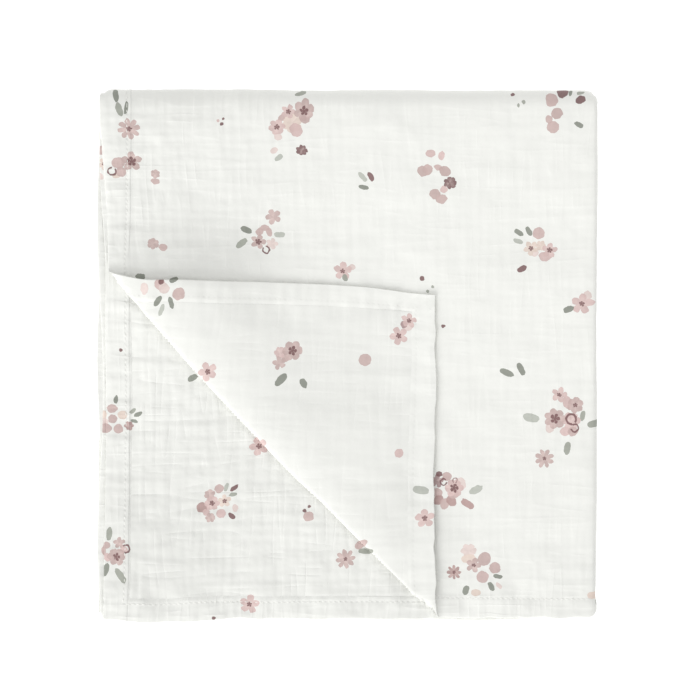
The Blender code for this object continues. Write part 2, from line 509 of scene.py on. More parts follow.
def lines_along(edge):
    """The grid's lines from the front to the far end, between the same tangents."""
    quarter, half = QUARTER_LENGTH, HALF_LENGTH
    return grid_lines(
        [
            (edge, HEM_CELL),
            (HEM_ZONE, FINE_CELL),
            (quarter.crease + quarter.turn, HIDDEN_CELL),
            (half.crease, half.turn / TWO_LAYER_STEPS),
            (half.crease + half.turn, HIDDEN_CELL),
            (CLOTH_LENGTH - quarter.crease - quarter.turn, quarter.turn / FAR_ROLL_STEPS),
            (CLOTH_LENGTH - quarter.crease, HIDDEN_CELL),
            (CLOTH_LENGTH - HEM_ZONE, END_HEM_CELL),
            (CLOTH_LENGTH - edge, None),
        ]
    )


# Over what length the turned edges are drawn in at the cloth's corners, and how flat the turned corner's
# hems are pressed
MITRE_REACH = 0.0450
CORNER_PRESS = 0.55


def drawn_in(place, size, edge, depth):
    """Moves a place along one side of the cloth inwards, from the edge to the given depth inside it."""
    from_first, from_last = place - edge, size - edge - place
    shift = depth - edge
    return (
        place
        + shift * fade_in(from_first, MITRE_REACH)
        - shift * fade_in(from_last, MITRE_REACH)
    )


def places_of(verts):
    """The vertices' places, a row for each."""
    return np.array([vertex.co for vertex in verts])


def put(verts, points):
    """Moves the vertices to the given places."""
    for vertex, point in zip(verts, points):
        vertex.co = point


def weave_flat(mesh, sizes):
    """Fills the mesh with the flat cloth's face, between the tangents of its turned edges."""
    edge = sizes.hem_half
    across, along = lines_across(edge), lines_along(edge)
    columns, rows = len(across) - 1, len(along) - 1
    bmesh.ops.create_grid(mesh, x_segments=columns, y_segments=rows, size=1)
    unit = (places_of(mesh.verts) + 1) / 2
    column = np.rint(unit[:, 0] * columns).astype(int)
    row = np.rint(unit[:, 1] * rows).astype(int)
    flat = np.column_stack([across[column], along[row], np.zeros(len(unit))])
    flat[:, 2] = face_heights(flat[:, 0], flat[:, 1], sizes)
    put(mesh.verts, flat)


def hem_relief(across, along):
    """How much of its thickness the hem's back keeps: less on the turned corner, which is pressed flat."""
    return 1 - CORNER_PRESS * in_corner(across, along)


class Ring(NamedTuple):
    """One line of the turned hem, as its depth inside the edge and its drop below the face or the middle."""

    fixed: float
    share: float  # of the distance to the stitches
    from_face: bool  # where the drop is measured from the face, not from the cloth's middle
    drop: float


class AllowanceLine(NamedTuple):
    """One line of the allowance under the hem, in shares of the sizes that it follows."""

    to_stitches: float  # of the distance from the edge to the stitches
    past_stitches: float  # of the allowance
    drop: float  # of the hem's half thickness, below the cloth's middle
    drawn_up: float = 0  # of the stitches' groove


TURN_STEPS = 4
ALLOWANCE_LINES = (
    AllowanceLine(0, 0, 1),
    AllowanceLine(0.5, 0, 1.05),
    AllowanceLine(0.97, 0, 1, drawn_up=0.6),
    AllowanceLine(1, 0.35, 1),
    AllowanceLine(1, 0.75, 0.85),
    AllowanceLine(1, 1, 0.50),
    AllowanceLine(1, 1.35, 0.06),
)


def hem_rings(sizes):
    """The lines of the turned hem: a half circle round the edge, and then the allowance."""
    half = sizes.hem_half
    for step in range(1, TURN_STEPS):
        angle = np.pi * step / TURN_STEPS
        yield Ring(half * (1 - np.sin(angle)), 0, True, half * (1 - np.cos(angle)))
    for line in ALLOWANCE_LINES:
        fixed = sizes.allowance * line.past_stitches if line.to_stitches else half
        yield Ring(fixed, line.to_stitches, False, half * line.drop - sizes.groove * line.drawn_up)


def turn_hems(mesh, sizes):
    """Turns the cloth's edges under, round a half circle, and runs the allowance in past the stitches."""
    edge = sizes.hem_half
    rim = [line for line in mesh.edges if line.is_boundary]
    start = None
    for ring in hem_rings(sizes):
        grown = bmesh.ops.extrude_edge_only(mesh, edges=rim)["geom"]
        rim = [part for part in grown if isinstance(part, bmesh.types.BMEdge)]
        rim = [line for line in rim if line.is_boundary]
        verts = [part for part in grown if isinstance(part, bmesh.types.BMVert)]
        if start is None:
            start = places_of(verts)
        across, along = start[:, 0], start[:, 1]
        widths = hem_widths(across, along)
        side = np.where(across < CLOTH_WIDTH / 2, widths[0], widths[1])
        end = np.where(along < CLOTH_LENGTH / 2, widths[2], widths[3])
        depth_across = ring.fixed + ring.share * side
        depth_along = ring.fixed + ring.share * end
        points = start.copy()
        points[:, 0] = drawn_in(across, CLOTH_WIDTH, edge, depth_across)
        points[:, 1] = drawn_in(along, CLOTH_LENGTH, edge, depth_along)
        middle = undulation(points[:, 0], points[:, 1], sizes)
        pressed = hem_relief(points[:, 0], points[:, 1]) if ring.share > 0 else 1
        points[:, 2] = (start[:, 2] if ring.from_face else middle) - ring.drop * pressed
        put(verts, points)


# How far inside the packet's outline the top layer's hems lie, and over what length they come out to it
TOP_SIDE_INSET = 0.0050
TOP_FRONT_INSET = 0.0087
TOP_FRONT_REACH = 0.2025
SIDE_EASE = 0.1100

# The same of the second layer, which flares towards its corner and sags beside it
SECOND_SIDE_INSET = 0.0033
SECOND_FRONT_INSET = -0.0012
SECOND_FLARE = 0.0018
SECOND_FLARE_RUN = 0.1100
FRONT_SAG = 0.0013
FRONT_SAG_AT = 0.0330
FRONT_SAG_RUN = 0.0300

# Where hems are drawn in further: at the first corner, beside its crease and at the far roll's turn
CORNER_INSET = 0.0025
CORNER_INSET_RUN = 0.1100
CREASE_TUCK = 0.0016
CREASE_TUCK_AT = 0.1800
CREASE_TUCK_RUN = 0.0160
TURN_INSET = 0.0030
TURN_WIDTH = 0.0160
FIRST_TURN_SHARE = 0.3

# How the hems of the other layers wander, and the small scallops of the front ones
HEM_WANDER = 0.0018
HEM_WAVES = 6.5
SCALLOP = 0.0110
SCALLOP_DEPTH = 0.00055
SCALLOP_DETAIL = 0.6


def ease_hems(points):
    """Moves the flat cloth's hems a few millimetres in or out, to where they lie in the packet."""
    across, along = points[:, 0], points[:, 1]
    top_two = smooth_step((QUARTER_LENGTH.crease - along) / SIDE_EASE)
    side_wander = HEM_WANDER * np.sin(HEM_WAVES * 2 * np.pi * along / CLOTH_LENGTH) * (1 - top_two)
    far_turn = QUARTER_LENGTH.crease + QUARTER_LENGTH.turn / 2
    to_turn = np.minimum(abs(along - far_turn), abs(CLOTH_LENGTH - along - far_turn))
    turn_inset = TURN_INSET * hump(to_turn, TURN_WIDTH)
    first_inset = TOP_SIDE_INSET * top_two + turn_inset * FIRST_TURN_SHARE + side_wander
    first_inset += CORNER_INSET * fade_in(along, CORNER_INSET_RUN)
    first_inset += CREASE_TUCK * hump(along - CREASE_TUCK_AT, CREASE_TUCK_RUN)
    last_inset = SECOND_SIDE_INSET * top_two + turn_inset - side_wander
    last_inset -= SECOND_FLARE * fade_in(along, SECOND_FLARE_RUN)
    between = (across - QUARTER_WIDTH.crease) / (CLOTH_WIDTH - 2 * QUARTER_WIDTH.crease)
    end_wander = HEM_WANDER * np.sin(HEM_WAVES * 2 * np.pi * across / CLOTH_WIDTH)
    front_inset = (
        (TOP_FRONT_INSET + CORNER_INSET) * fade_in(across, TOP_FRONT_REACH)
        + SECOND_FRONT_INSET * fade_in(CLOTH_WIDTH - across, QUARTER_WIDTH.crease)
        + end_wander * np.sin(np.pi * np.clip(between, 0, 1))
        - FRONT_SAG * hump(CLOTH_WIDTH - across - FRONT_SAG_AT, FRONT_SAG_RUN)
    )
    scallops = ripples(across, along, SCALLOP, SCALLOP, seed=37)
    scallops += SCALLOP_DETAIL * ripples(across, along, SCALLOP / 2, SCALLOP, seed=38)
    eased_front = SCALLOP_DEPTH * scallops * fade_in(along, SCALLOP)
    eased = points.copy()
    eased[:, 0] += first_inset * fade_in(across, QUARTER_WIDTH.crease)
    eased[:, 0] -= last_inset * fade_in(CLOTH_WIDTH - across, QUARTER_WIDTH.crease)
    eased[:, 1] += front_inset * fade_in(along, QUARTER_LENGTH.crease) + eased_front
    eased[:, 1] += end_wander * fade_in(CLOTH_LENGTH - along, QUARTER_LENGTH.crease)
    return eased


def fold_under(points, fold, top, bottom):
    """Turns what lies past the crease under the rest. top and bottom bound the stack before the fold."""
    axis = bottom - GAP / 2
    past = points[:, fold.across] - fold.crease
    angle = np.clip(past / fold.turn, 0, 1) * np.pi
    power = fold.squareness
    stretch = (abs(np.sin(angle)) ** power + abs(np.cos(angle)) ** power) ** (-1 / power)
    radius = (points[:, 2] - axis) * stretch
    turned = points.copy()
    turned[:, fold.across] = (
        fold.crease
        + radius * np.sin(angle)
        + np.minimum(past, 0)
        - np.maximum(past - fold.turn, 0)
    )
    turned[:, 2] = axis + radius * np.cos(angle)
    return turned, top, 2 * axis - top


# The turned corner's roll: its depth below and above, its share of the height at both ends, and its waves
UNDER_DEPTH = 0.0080
OVER_DEPTH = 0.0130
ROLL_STEPS = 200
LEFT_RISE = 1.0
FRONT_RISE = 0.45
BOW_POWER = 0.7
LOOSE_RUN = 0.1100
CREASE_WAVE = 0.0008
CREASE_WAVE_CELL = 0.0320

# How it comes down on the packet, and how its front hem lifts and its point is pulled in
LANDING_RUN = 0.0520
LANDING_HEIGHT = 0.0010
LEFT_LANDING = 0.9
FRONT_LIFT = 0.0008
FRONT_LIFT_RUN = 0.0220
CORNER_PULL = np.array((0.0013, 0.0016))
CORNER_PULL_FROM = np.array((0.0400, 0.1050))
CORNER_PULL_RUN = np.array((0.0300, 0.0220))


def roll_depth(angle):
    """How deep the roll is at an angle: deeper above, where the corner slopes down to the packet."""
    return np.where(angle < np.pi / 2, UNDER_DEPTH, OVER_DEPTH)


def corner_roll(rise):
    """The roll at the turned corner's crease, steep below and long above, as angles and lengths to each."""
    angle = np.linspace(0, np.pi, ROLL_STEPS + 1)
    depth = roll_depth(angle)
    outline = np.column_stack([depth * (np.sin(angle) - 1), -rise * np.cos(angle)])
    steps = np.linalg.norm(np.diff(outline, axis=0), axis=1)
    return angle, np.concatenate([[0], np.cumsum(steps)])


def turn_corner_back(points, moving, middle, sizes):
    """Rolls the first corner round its bowed crease and lays it down. middle is the top layer's height."""
    rise = sizes.crease_rise
    angles, lengths = corner_roll(rise)
    from_start = points[:, :2] - CREASE_LEFT
    past = from_start @ TO_CORNER
    along_crease = np.clip(from_start @ CREASE_RUN / CREASE_LENGTH**2, 0, 1)
    bow = sizes.crease_bow * np.sin(np.pi * along_crease) ** BOW_POWER
    place = along_crease * CREASE_LENGTH
    wave = ripples(place, np.zeros_like(place), CREASE_WAVE_CELL, CREASE_WAVE_CELL, seed=45)
    bow += CREASE_WAVE * wave * np.sin(np.pi * along_crease)
    loosened = smooth_step((past + UNDER_DEPTH) / LOOSE_RUN)
    travelled = past + UNDER_DEPTH - bow + 2 * bow * loosened
    angle = np.interp(travelled, lengths, angles)
    beyond = np.maximum(travelled - lengths[-1], 0)
    sine, cosine, depth = np.sin(angle), np.cos(angle), roll_depth(angle)
    end_rise = LEFT_RISE + (FRONT_RISE - LEFT_RISE) * along_crease
    rise = rise * (end_rise + (1 - end_rise) * np.sin(np.pi * along_crease) ** BOW_POWER)
    offset = (points[:, 2] - middle) / np.hypot(rise * sine, depth * cosine)
    rolled_to = bow + depth * (sine - 1) - rise * sine * offset - beyond
    height = middle + rise * (1 - cosine) + depth * cosine * offset
    landing_run = LANDING_RUN * (1 + LEFT_LANDING * (1 - along_crease))
    height -= (2 * rise - LANDING_HEIGHT) * smooth_step(beyond / landing_run)
    height += FRONT_LIFT * fade_in(points[:, 1], FRONT_LIFT_RUN) ** 2 * smooth_step(beyond / landing_run)
    rolls = moving & (travelled > 0)
    turned = points.copy()
    turned[:, :2] += np.outer(rolled_to - past, TO_CORNER)
    turned[:, :2] -= CORNER_PULL * smooth_step((past[:, None] - CORNER_PULL_FROM) / CORNER_PULL_RUN)
    turned = np.where(rolls[:, None], turned, points)
    turned[rolls, 2] = height[rolls]
    return turned


class Rounding(NamedTuple):
    """One upright corner: 0 or 1 for its side and for its end, and its radius."""

    side: int
    end: int
    radius: float


# The packet's outline: its rounded corners, its narrowing front, and how far its other sides bulge
ROUNDINGS = (Rounding(0, 1, 0.0060), Rounding(1, 1, 0.0085), Rounding(1, 0, 0.0060), Rounding(0, 0, 0.0020))
FRONT_TAPER = 0.0018
LEFT_SPREAD = 0.0017
RIGHT_SPREAD = 0.0012
FAR_SPREAD = 0.0009

# Its unevenness: the stack's waves, its slow and quick swells and where they start, the droop of its far
# edge, and one bulge
SWELLS = 0.022
WAVES_ACROSS = 2.3
WAVES_ALONG = 1.8
WAVE_START_ACROSS = 0.6
WAVE_START_ALONG = -0.9
SLOW_CELLS = (0.0420, 0.0300)
SLOW_SHARE = 0.8
QUICK_CELLS = (0.0150, 0.0110)
QUICK_SHARE = 0.35
SWELL_LIMIT = 1.2
SWELLS_START = 1.0
FAR_DROOP = 0.0016
FAR_DROOP_REACH = 0.085
BULGE = 0.0078
BULGE_AT = np.array((0.0480, 0.1985))
BULGE_HALF_WIDTH = 0.0500
BULGE_FRONT = 0.0520
BULGE_BACK = 0.0230

# How far the layers below the top one are out of line at the packet's sides and ends
LAYER_SHIFT = 0.0008
LAYER_SHIFT_CELLS = (0.0450, 0.0042)
LAYER_SHIFT_POWER = 4
BELOW_TOP = 0.93


def round_corners(points):
    """Rounds the packet's upright corners."""
    rounded = points.copy()
    for side, end, radius in ROUNDINGS:
        signs = np.array((2 * side - 1, 2 * end - 1))
        corner = np.array((side * PACKET_WIDTH, end * PACKET_LENGTH))
        inside = (rounded[:, :2] - corner) * signs + radius
        near = (inside > 0).all(axis=1)
        reach = np.hypot(inside[:, 0], inside[:, 1])
        scale = inside.max(axis=1) / np.maximum(reach, 1e-9)
        rounded[near, :2] += (inside * (scale - 1)[:, None] * signs)[near]
    return rounded


def settle(points, base, sizes):
    """Lets the loose stack lie unevenly, with its flat underside at zero height."""
    across, along = points[:, 0] / PACKET_WIDTH, points[:, 1] / PACKET_LENGTH
    height = points[:, 2] - base
    share = height / (STACK_LAYERS * PITCH)
    in_top_half = smooth_step(share * 2 - 1)
    settled = points.copy()
    settled[:, 0] -= FRONT_TAPER * across * (1 - along) + LEFT_SPREAD * (1 - across) ** 2
    settled[:, 0] += RIGHT_SPREAD * np.clip(across, 0, 1) ** 2
    settled[:, 1] += FAR_SPREAD * np.clip(along, 0, 1) ** 2
    waves = np.sin(WAVES_ACROSS * np.pi * across + WAVE_START_ACROSS)
    waves += np.sin(WAVES_ALONG * np.pi * along + WAVE_START_ALONG)
    settled[:, 2] = height * (1 + SWELLS * waves / 2)
    place = points[:, :2] + SWELLS_START
    slow = ripples(place[:, 0], place[:, 1], *SLOW_CELLS, seed=41)
    quick = ripples(place[:, 0], place[:, 1], *QUICK_CELLS, seed=42)
    swells = SLOW_SHARE * slow + QUICK_SHARE * quick
    settled[:, 2] += sizes.swell * swells * np.minimum(share, SWELL_LIMIT)
    settled[:, 2] = np.maximum(settled[:, 2], 0)
    droop = smooth_step((along - 1 + FAR_DROOP_REACH) / FAR_DROOP_REACH)
    settled[:, 2] -= FAR_DROOP * droop * in_top_half
    from_bulge = points[:, :2] - BULGE_AT
    reach = np.where(from_bulge[:, 1] > 0, BULGE_BACK, BULGE_FRONT)
    bulge = hump(from_bulge[:, 0], BULGE_HALF_WIDTH) * hump(from_bulge[:, 1], reach)
    settled[:, 2] += BULGE * bulge * in_top_half
    sideways = ripples(place[:, 1], height, *LAYER_SHIFT_CELLS, seed=43)
    endways = ripples(place[:, 0], height, *LAYER_SHIFT_CELLS, seed=44)
    at_sides = (2 * abs(across - 0.5)) ** LAYER_SHIFT_POWER
    at_ends = (2 * abs(along - 0.5)) ** LAYER_SHIFT_POWER
    settled[:, 0] += LAYER_SHIFT * sideways * at_sides * (share < BELOW_TOP)
    settled[:, 1] += LAYER_SHIFT * endways * at_ends * (share < BELOW_TOP)
    return settled


def folded(flat, sizes):
    """Folds the points of the flat cloth, and puts the packet where the CAD's lies."""
    eased = ease_hems(flat)
    points, top, bottom = eased, CLOTH / 2, -CLOTH / 2
    first_panel = (eased[:, 0] < QUARTER_WIDTH.crease) & (eased[:, 1] < QUARTER_LENGTH.crease)
    for fold in FOLDS:
        points, top, bottom = fold_under(points, fold, top, bottom)
    points = turn_corner_back(points, first_panel, top - CLOTH / 2, sizes)
    points = settle(round_corners(points), bottom, sizes)
    return points + PACKET_TO_FRAME


# The print: each face carries up to this many motifs that cross it. An empty slot's motif is far off
SLOTS = 4
FAR_OFF = 9.0


class Motif(NamedTuple):
    """One painted shape: its kind, its middle and size in millimetres, its turn in degrees and its ink."""

    kind: str
    x: float
    y: float
    length: float
    width: float
    turn: float
    ink: str


# What the material reads as the shape: a flower's petals, 0 for a blot and less than 0 for the rest
SHAPES = {"blot": 0, "leaf": -1, "arc": -2, "hearts": -6}
SHAPES.update({f"flower{petals}": petals for petals in (5, 6, 7, 8)})

# A flower's width as a share of its length, and a fan petal's length as a share of its width
OVAL = 0.94
FAN_PETAL = 1.25


def blossom(x, y, size, petals, turn, ink):
    """Petals with no hearts. Five or eight make a star, six or seven a fuller head."""
    return [Motif(f"flower{petals}", x, y, size, size * OVAL, turn, ink)]


def flower(x, y, size, petals, turn, ink, heart=0.34):
    """A flower with its knot of small dark hearts, sized as a share of it."""
    knot = size * heart
    return blossom(x, y, size, petals, turn, ink) + [Motif("hearts", x, y, knot, knot, turn, "plum")]


def leaf(x, y, length, turn, ink, slim=0.42):
    """A leaf that lies along its turn, its width a share of its length."""
    return [Motif("leaf", x, y, length, length * slim, turn, ink)]


def blot(x, y, length, width, turn, ink):
    """A round or oval petal, bud or dot."""
    return [Motif("blot", x, y, length, width, turn, ink)]


def arc(x, y, size, turn, ink):
    """A stroke round most of a circle."""
    return [Motif("arc", x, y, size, size, turn, ink)]


def fan(x, y, reach, first, step, count, size, inks):
    """Petals set round an arc, the first at the angle first and the rest a step apart."""
    petals = []
    for number in range(count):
        turn = first + step * number
        angle = math.radians(turn)
        place = (x + reach * math.cos(angle), y + reach * math.sin(angle))
        petals += blot(*place, size * FAN_PETAL, size, turn, inks[number % len(inks)])
    return petals


# The sprays, each from its middle, in millimetres and degrees, in the order in which they are painted
SPRAYS = {
    "dots": (
        blot(1.0, 1.8, 1.7, 1.7, 0, "plum")
        + blot(0.2, -1.6, 2.6, 2.0, 40, "plum")
        + blot(-2.0, 0.2, 1.7, 1.7, 0, "pink")
    ),
    "specks": (
        blot(0, 0, 2.7, 2.7, 0, "plum")
        + blot(6.5, -5.0, 1.8, 1.6, 0, "sage")
        + blot(3.2, -7.8, 1.9, 1.9, 0, "sage")
    ),
    "far specks": (
        blot(0, 0, 2.7, 1.7, 0, "plum")
        + blot(3.1, -3.8, 2.0, 1.9, 0, "sage")
        + blot(6.1, -2.7, 1.8, 1.5, 0, "sage")
    ),
    "dot": blot(0, 0, 2.4, 2.4, 0, "plum"),
    "buds": blossom(-1.4, 1.2, 7.4, 6, 20, "dusty") + blot(4.2, -1.8, 5.2, 4.4, -20, "dusty"),
    "two buds": blossom(0, 1.6, 5.8, 6, 20, "dusty") + blot(-0.3, -3.0, 5.6, 3.6, 0, "dusty"),
    "bud": blot(0, 0, 7.4, 6.8, 0, "dusty"),
    "small bud": blot(0, 0, 5.6, 5.0, 30, "pink"),
    "pink bud": blot(0, 0, 7.8, 4.6, 40, "dusty"),
    "slim leaf": leaf(0, 0, 8.2, -3, "sage", 0.4),
    "dotted bud": (
        blot(0.8, -2.6, 6.4, 5.6, 0, "dusty")
        + blot(-1.4, 0.8, 2.4, 2.4, 0, "plum")
        + blot(1.0, 3.4, 1.8, 1.8, 0, "plum")
    ),
    "leaves": (
        leaf(0.3, 5.1, 7.0, -48, "mist")
        + leaf(5.3, 5.3, 6.4, -60, "plum", 0.48)
        + leaf(0.8, -1.2, 6.2, -10, "moss")
    ),
    "pair of leaves": leaf(-3.8, -1.6, 9.0, -22, "moss") + leaf(5.0, 0.4, 8.6, -62, "moss"),
    "long leaf": leaf(0, 0, 9.4, -12, "mist", 0.5),
    "one leaf": leaf(0, 0, 6.4, 24, "moss", 0.56),
    "star": blossom(0, 0, 10.0, 5, 40, "dusty"),
    "star flower": flower(0, 0, 12.0, 5, 40, "pink", 0.28),
    "daisy": flower(0, 0, 12.2, 8, 10, "dusty", 0.2),
    "single": (
        blot(4.1, 1.8, 4.2, 3.6, 30, "blush")
        + flower(-1.4, -0.4, 11.6, 5, 15, "pink", 0.27)
        + blot(-0.2, -4.6, 3.2, 4.6, 10, "sage")
    ),
    "flower and leaf": (
        blot(-1.2, 3.0, 4.8, 5.6, 20, "blush")
        + flower(-4.5, -2.0, 13.2, 5, 10, "pink", 0.25)
        + leaf(-12.5, -5.2, 6.6, 20, "moss", 0.56)
    ),
    "tall": (
        leaf(-9.9, 28.2, 5.4, 95, "moss", 0.6)
        + leaf(-8.0, 22.0, 7.8, -68, "sage", 0.5)
        + leaf(-3.9, 22.9, 6.6, 80, "moss", 0.38)
        + flower(-2.6, 10.3, 14.0, 8, 10, "dusty", 0.25)
    ),
    "drooping": (
        blot(-12.5, -18.6, 4.8, 3.4, 10, "peach")
        + blot(-9.3, -16.4, 6.4, 6.0, 70, "dusty")
        + blot(-10.6, -10.8, 8.0, 7.0, 20, "dusty")
        + flower(-2.6, -9.8, 12.8, 5, 20, "dusty", 0.46)
        + arc(-14.8, -16.0, 5.6, 60, "plum")
    ),
    "posy": (
        blossom(-0.4, 0.2, 12.6, 6, 20, "peach")
        + blot(-6.6, 3.4, 4.8, 3.8, 50, "dusty")
        + blot(-9.0, -8.0, 5.2, 4.6, -30, "blush")
        + blot(1.9, -4.0, 8.4, 7.4, -60, "pink")
        + flower(-9.4, -2.2, 10.0, 6, 10, "pink", 0.34)
        + flower(-2.3, 7.2, 9.2, 5, 0, "pink", 0.34)
        + blot(7.4, 2.4, 5.6, 5.0, 0, "dusty")
        + flower(7.0, 7.6, 12.4, 6, 20, "dusty", 0.44)
        + leaf(4.7, 15.6, 6.8, 14, "sage", 0.36)
    ),
    "bud and leaf": (
        blossom(10.0, 0.6, 7.0, 7, 0, "plum")
        + blot(-6.4, 0.4, 5.0, 3.6, 30, "blush")
        + leaf(-4.0, -4.0, 6.0, 35, "mist", 0.5)
    ),
    "sprig": (
        leaf(-10.2, 3.6, 7.6, -22, "moss", 0.46)
        + leaf(-13.2, -4.7, 8.6, 38, "sage", 0.44)
        + leaf(10.0, 1.0, 6.8, 0, "mist", 0.48)
        + blot(-2.2, 2.6, 5.2, 4.2, 50, "dusty")
        + blot(1.0, 5.0, 6.0, 3.6, 0, "dusty")
        + blot(3.6, 2.4, 3.4, 5.6, 10, "dusty")
        + blossom(5.2, -4.6, 7.6, 5, 0, "blush")
        + flower(-3.0, -3.5, 9.4, 5, 0, "dusty", 0.42)
        + arc(1.6, -8.4, 5.0, 120, "plum")
    ),
    "arch": (
        blot(-5.4, 14.1, 6.2, 4.4, 0, "pink")
        + blot(1.1, 12.8, 3.6, 5.8, -10, "pink")
        + blot(-10.4, 3.4, 6.2, 6.6, 40, "dusty")
        + blot(-7.4, 4.4, 5.8, 6.6, -20, "dusty")
        + blot(-1.0, 5.6, 5.4, 3.6, -20, "dusty")
        + blot(3.0, 3.4, 7.0, 6.2, -40, "dusty")
        + blot(-3.2, -10.2, 6.6, 6.2, 10, "dusty")
        + blot(0.6, -13.2, 7.0, 5.4, 10, "dusty")
        + blot(2.1, -7.4, 4.4, 4.6, 0, "pink")
        + blossom(6.1, -3.4, 8.0, 7, 0, "plum")
    ),
    "hanging": (
        blot(-10.8, 4.6, 7.6, 4.8, 0, "dusty")
        + blot(-4.0, 8.2, 7.0, 6.4, 0, "plum")
        + leaf(0.8, 7.6, 3.8, 80, "moss", 0.6)
        + leaf(6.6, 7.3, 4.8, 10, "sage", 0.4)
        + leaf(6.5, 4.6, 6.2, 10, "plum", 0.4)
        + blot(-7.8, -1.9, 7.2, 6.4, 30, "dusty")
        + blot(-12.6, -5.4, 4.4, 4.8, 0, "dusty")
        + blot(-10.1, -10.0, 7.4, 7.0, 0, "dusty")
        + leaf(5.4, -8.7, 5.8, -32, "moss", 0.54)
    ),
    "two stars": (
        leaf(-9.6, 7.8, 6.6, -35, "moss", 0.48)
        + leaf(-3.5, 8.5, 6.4, -62, "moss", 0.48)
        + leaf(-10.0, 2.6, 6.0, -15, "mist", 0.5)
        + blot(2.5, 7.3, 7.4, 7.2, 0, "dusty")
        + blot(6.4, -6.6, 7.8, 5.4, 0, "pink")
        + blossom(3.7, -0.2, 6.6, 6, 0, "peach")
        + blot(0.2, -4.6, 4.6, 4.0, 0, "blush")
        + flower(-2.3, -1.7, 9.2, 5, 50, "peach", 0.32)
        + flower(9.0, -2.8, 9.6, 5, 10, "pink", 0.36)
        + leaf(-7.6, -13.9, 6.0, 30, "plum", 0.62)
    ),
    "bouquet": (
        leaf(-18.4, -3.8, 10.0, -12, "mist", 0.5)
        + leaf(13.0, -2.7, 6.2, 75, "sage", 0.48)
        + leaf(19.0, -7.0, 7.4, 30, "sage", 0.5)
        + leaf(3.6, -22.0, 7.6, 80, "sage", 0.5)
        + blot(-7.0, -10.0, 5.4, 5.6, 0, "blush")
        + blossom(6.0, -5.6, 11.4, 6, 0, "pink")
        + blot(3.6, 5.4, 5.8, 7.4, 20, "pink")
        + blot(2.2, -12.0, 6.6, 5.4, 0, "pink")
        + blot(7.0, -12.0, 6.4, 5.8, 30, "dusty")
        + flower(-1.3, 10.0, 10.0, 5, 0, "pink", 0.26)
        + flower(8.4, 3.8, 10.4, 6, 20, "dusty", 0.28)
        + flower(-3.8, -4.4, 13.2, 7, 0, "dusty", 0.46)
        + arc(6.0, -4.6, 7.4, 300, "plum")
        + arc(8.2, -10.0, 5.6, 150, "plum")
    ),
    "hooked": (
        leaf(-15.8, -1.6, 8.6, -22, "mist", 0.5)
        + leaf(16.4, -1.0, 9.0, 28, "mist", 0.46)
        + leaf(11.1, -9.4, 9.0, -35, "rose", 0.46)
        + fan(-2.4, -4.2, 5.2, 165, 50, 5, 5.4, ("dusty", "rose"))
        + blossom(-7.7, 4.3, 9.0, 5, 10, "mauve")
        + blot(-1.4, 7.0, 5.8, 5.4, 0, "dusty")
        + blot(6.4, 2.4, 8.0, 7.4, 30, "blush")
        + flower(3.0, 0, 11.6, 6, 0, "pink", 0.46)
        + blot(-6.2, 8.3, 4.2, 3.2, 0, "plum")
        + arc(-3.5, 3.6, 4.6, 20, "plum")
        + arc(3.5, 4.6, 3.6, 270, "mauve")
    ),
    "wreath": (
        leaf(9.6, 5.8, 4.8, 35, "sage", 0.46)
        + leaf(12.8, 4.0, 5.2, 25, "moss", 0.46)
        + leaf(10.6, -0.2, 4.8, -15, "moss", 0.42)
        + leaf(-0.6, 12.5, 4.8, 80, "moss", 0.58)
        + blot(-7.4, -1.2, 5.0, 4.6, 0, "blush")
        + blot(-2.9, 7.1, 6.4, 5.0, 0, "dusty")
        + blot(-8.4, 3.2, 4.6, 4.8, 0, "peach")
        + blot(3.4, 3.4, 5.8, 5.2, 0, "peach")
        + blot(-2.6, 1.0, 5.4, 5.2, 0, "dusty")
        + blot(-6.9, -4.7, 7.4, 5.8, 0, "dusty")
        + blot(0.9, -4.9, 5.8, 5.6, 0, "dusty")
        + blossom(7.3, -2.9, 5.8, 6, 0, "rose")
    ),
    "berries": (
        leaf(7.7, 8.0, 5.0, 70, "mist", 0.5)
        + leaf(12.5, 7.5, 5.8, 35, "plum", 0.44)
        + leaf(11.7, 3.6, 5.2, 12, "sage", 0.46)
        + leaf(11.2, -9.2, 5.0, -35, "plum", 0.58)
        + blot(-6.8, -3.7, 6.8, 6.2, 0, "rose")
        + blossom(-2.3, 3.8, 6.8, 6, 20, "dusty")
        + blot(-4.3, -6.7, 4.2, 3.8, 0, "pink")
        + blossom(-1.8, -10.0, 6.4, 6, 0, "dusty")
        + blot(3.2, 7.3, 5.6, 5.4, 0, "dusty")
        + blot(4.7, -7.7, 5.8, 5.2, 10, "pink")
        + blot(13.2, -4.5, 3.6, 4.6, 0, "blush")
        + flower(-0.8, -1.4, 9.4, 6, 0, "pink", 0.34)
        + flower(6.7, -0.2, 8.2, 5, 20, "peach", 0.34)
    ),
    "trailing": (
        leaf(-3.6, 13.1, 7.6, 85, "sage", 0.46)
        + leaf(-5.7, -8.7, 8.2, 72, "moss", 0.5)
        + leaf(3.8, -11.7, 10.4, -55, "sage", 0.36)
        + blot(-5.4, 6.2, 5.8, 4.0, 10, "dusty")
        + blot(-7.4, 2.6, 3.8, 5.6, 0, "dusty")
        + blot(-4.6, -0.8, 5.2, 4.6, -30, "pink")
        + blossom(2.5, 8.0, 7.2, 5, 20, "dusty")
        + blot(5.4, 3.8, 4.6, 4.6, 0, "pink")
        + flower(1.0, -0.4, 11.2, 6, 0, "dusty", 0.42)
        + arc(6.3, 4.5, 6.0, 150, "plum")
    ),
    "spread": (
        leaf(-10.5, 6.6, 6.2, 3, "sage", 0.58)
        + leaf(9.4, 4.3, 6.6, 35, "moss", 0.58)
        + leaf(-0.5, -7.9, 6.8, 55, "moss", 0.5)
        + leaf(8.0, -9.4, 7.0, 108, "moss", 0.42)
        + leaf(2.2, -12.9, 6.8, 70, "mist", 0.42)
        + blot(-9.3, -0.4, 7.0, 5.0, 100, "blush")
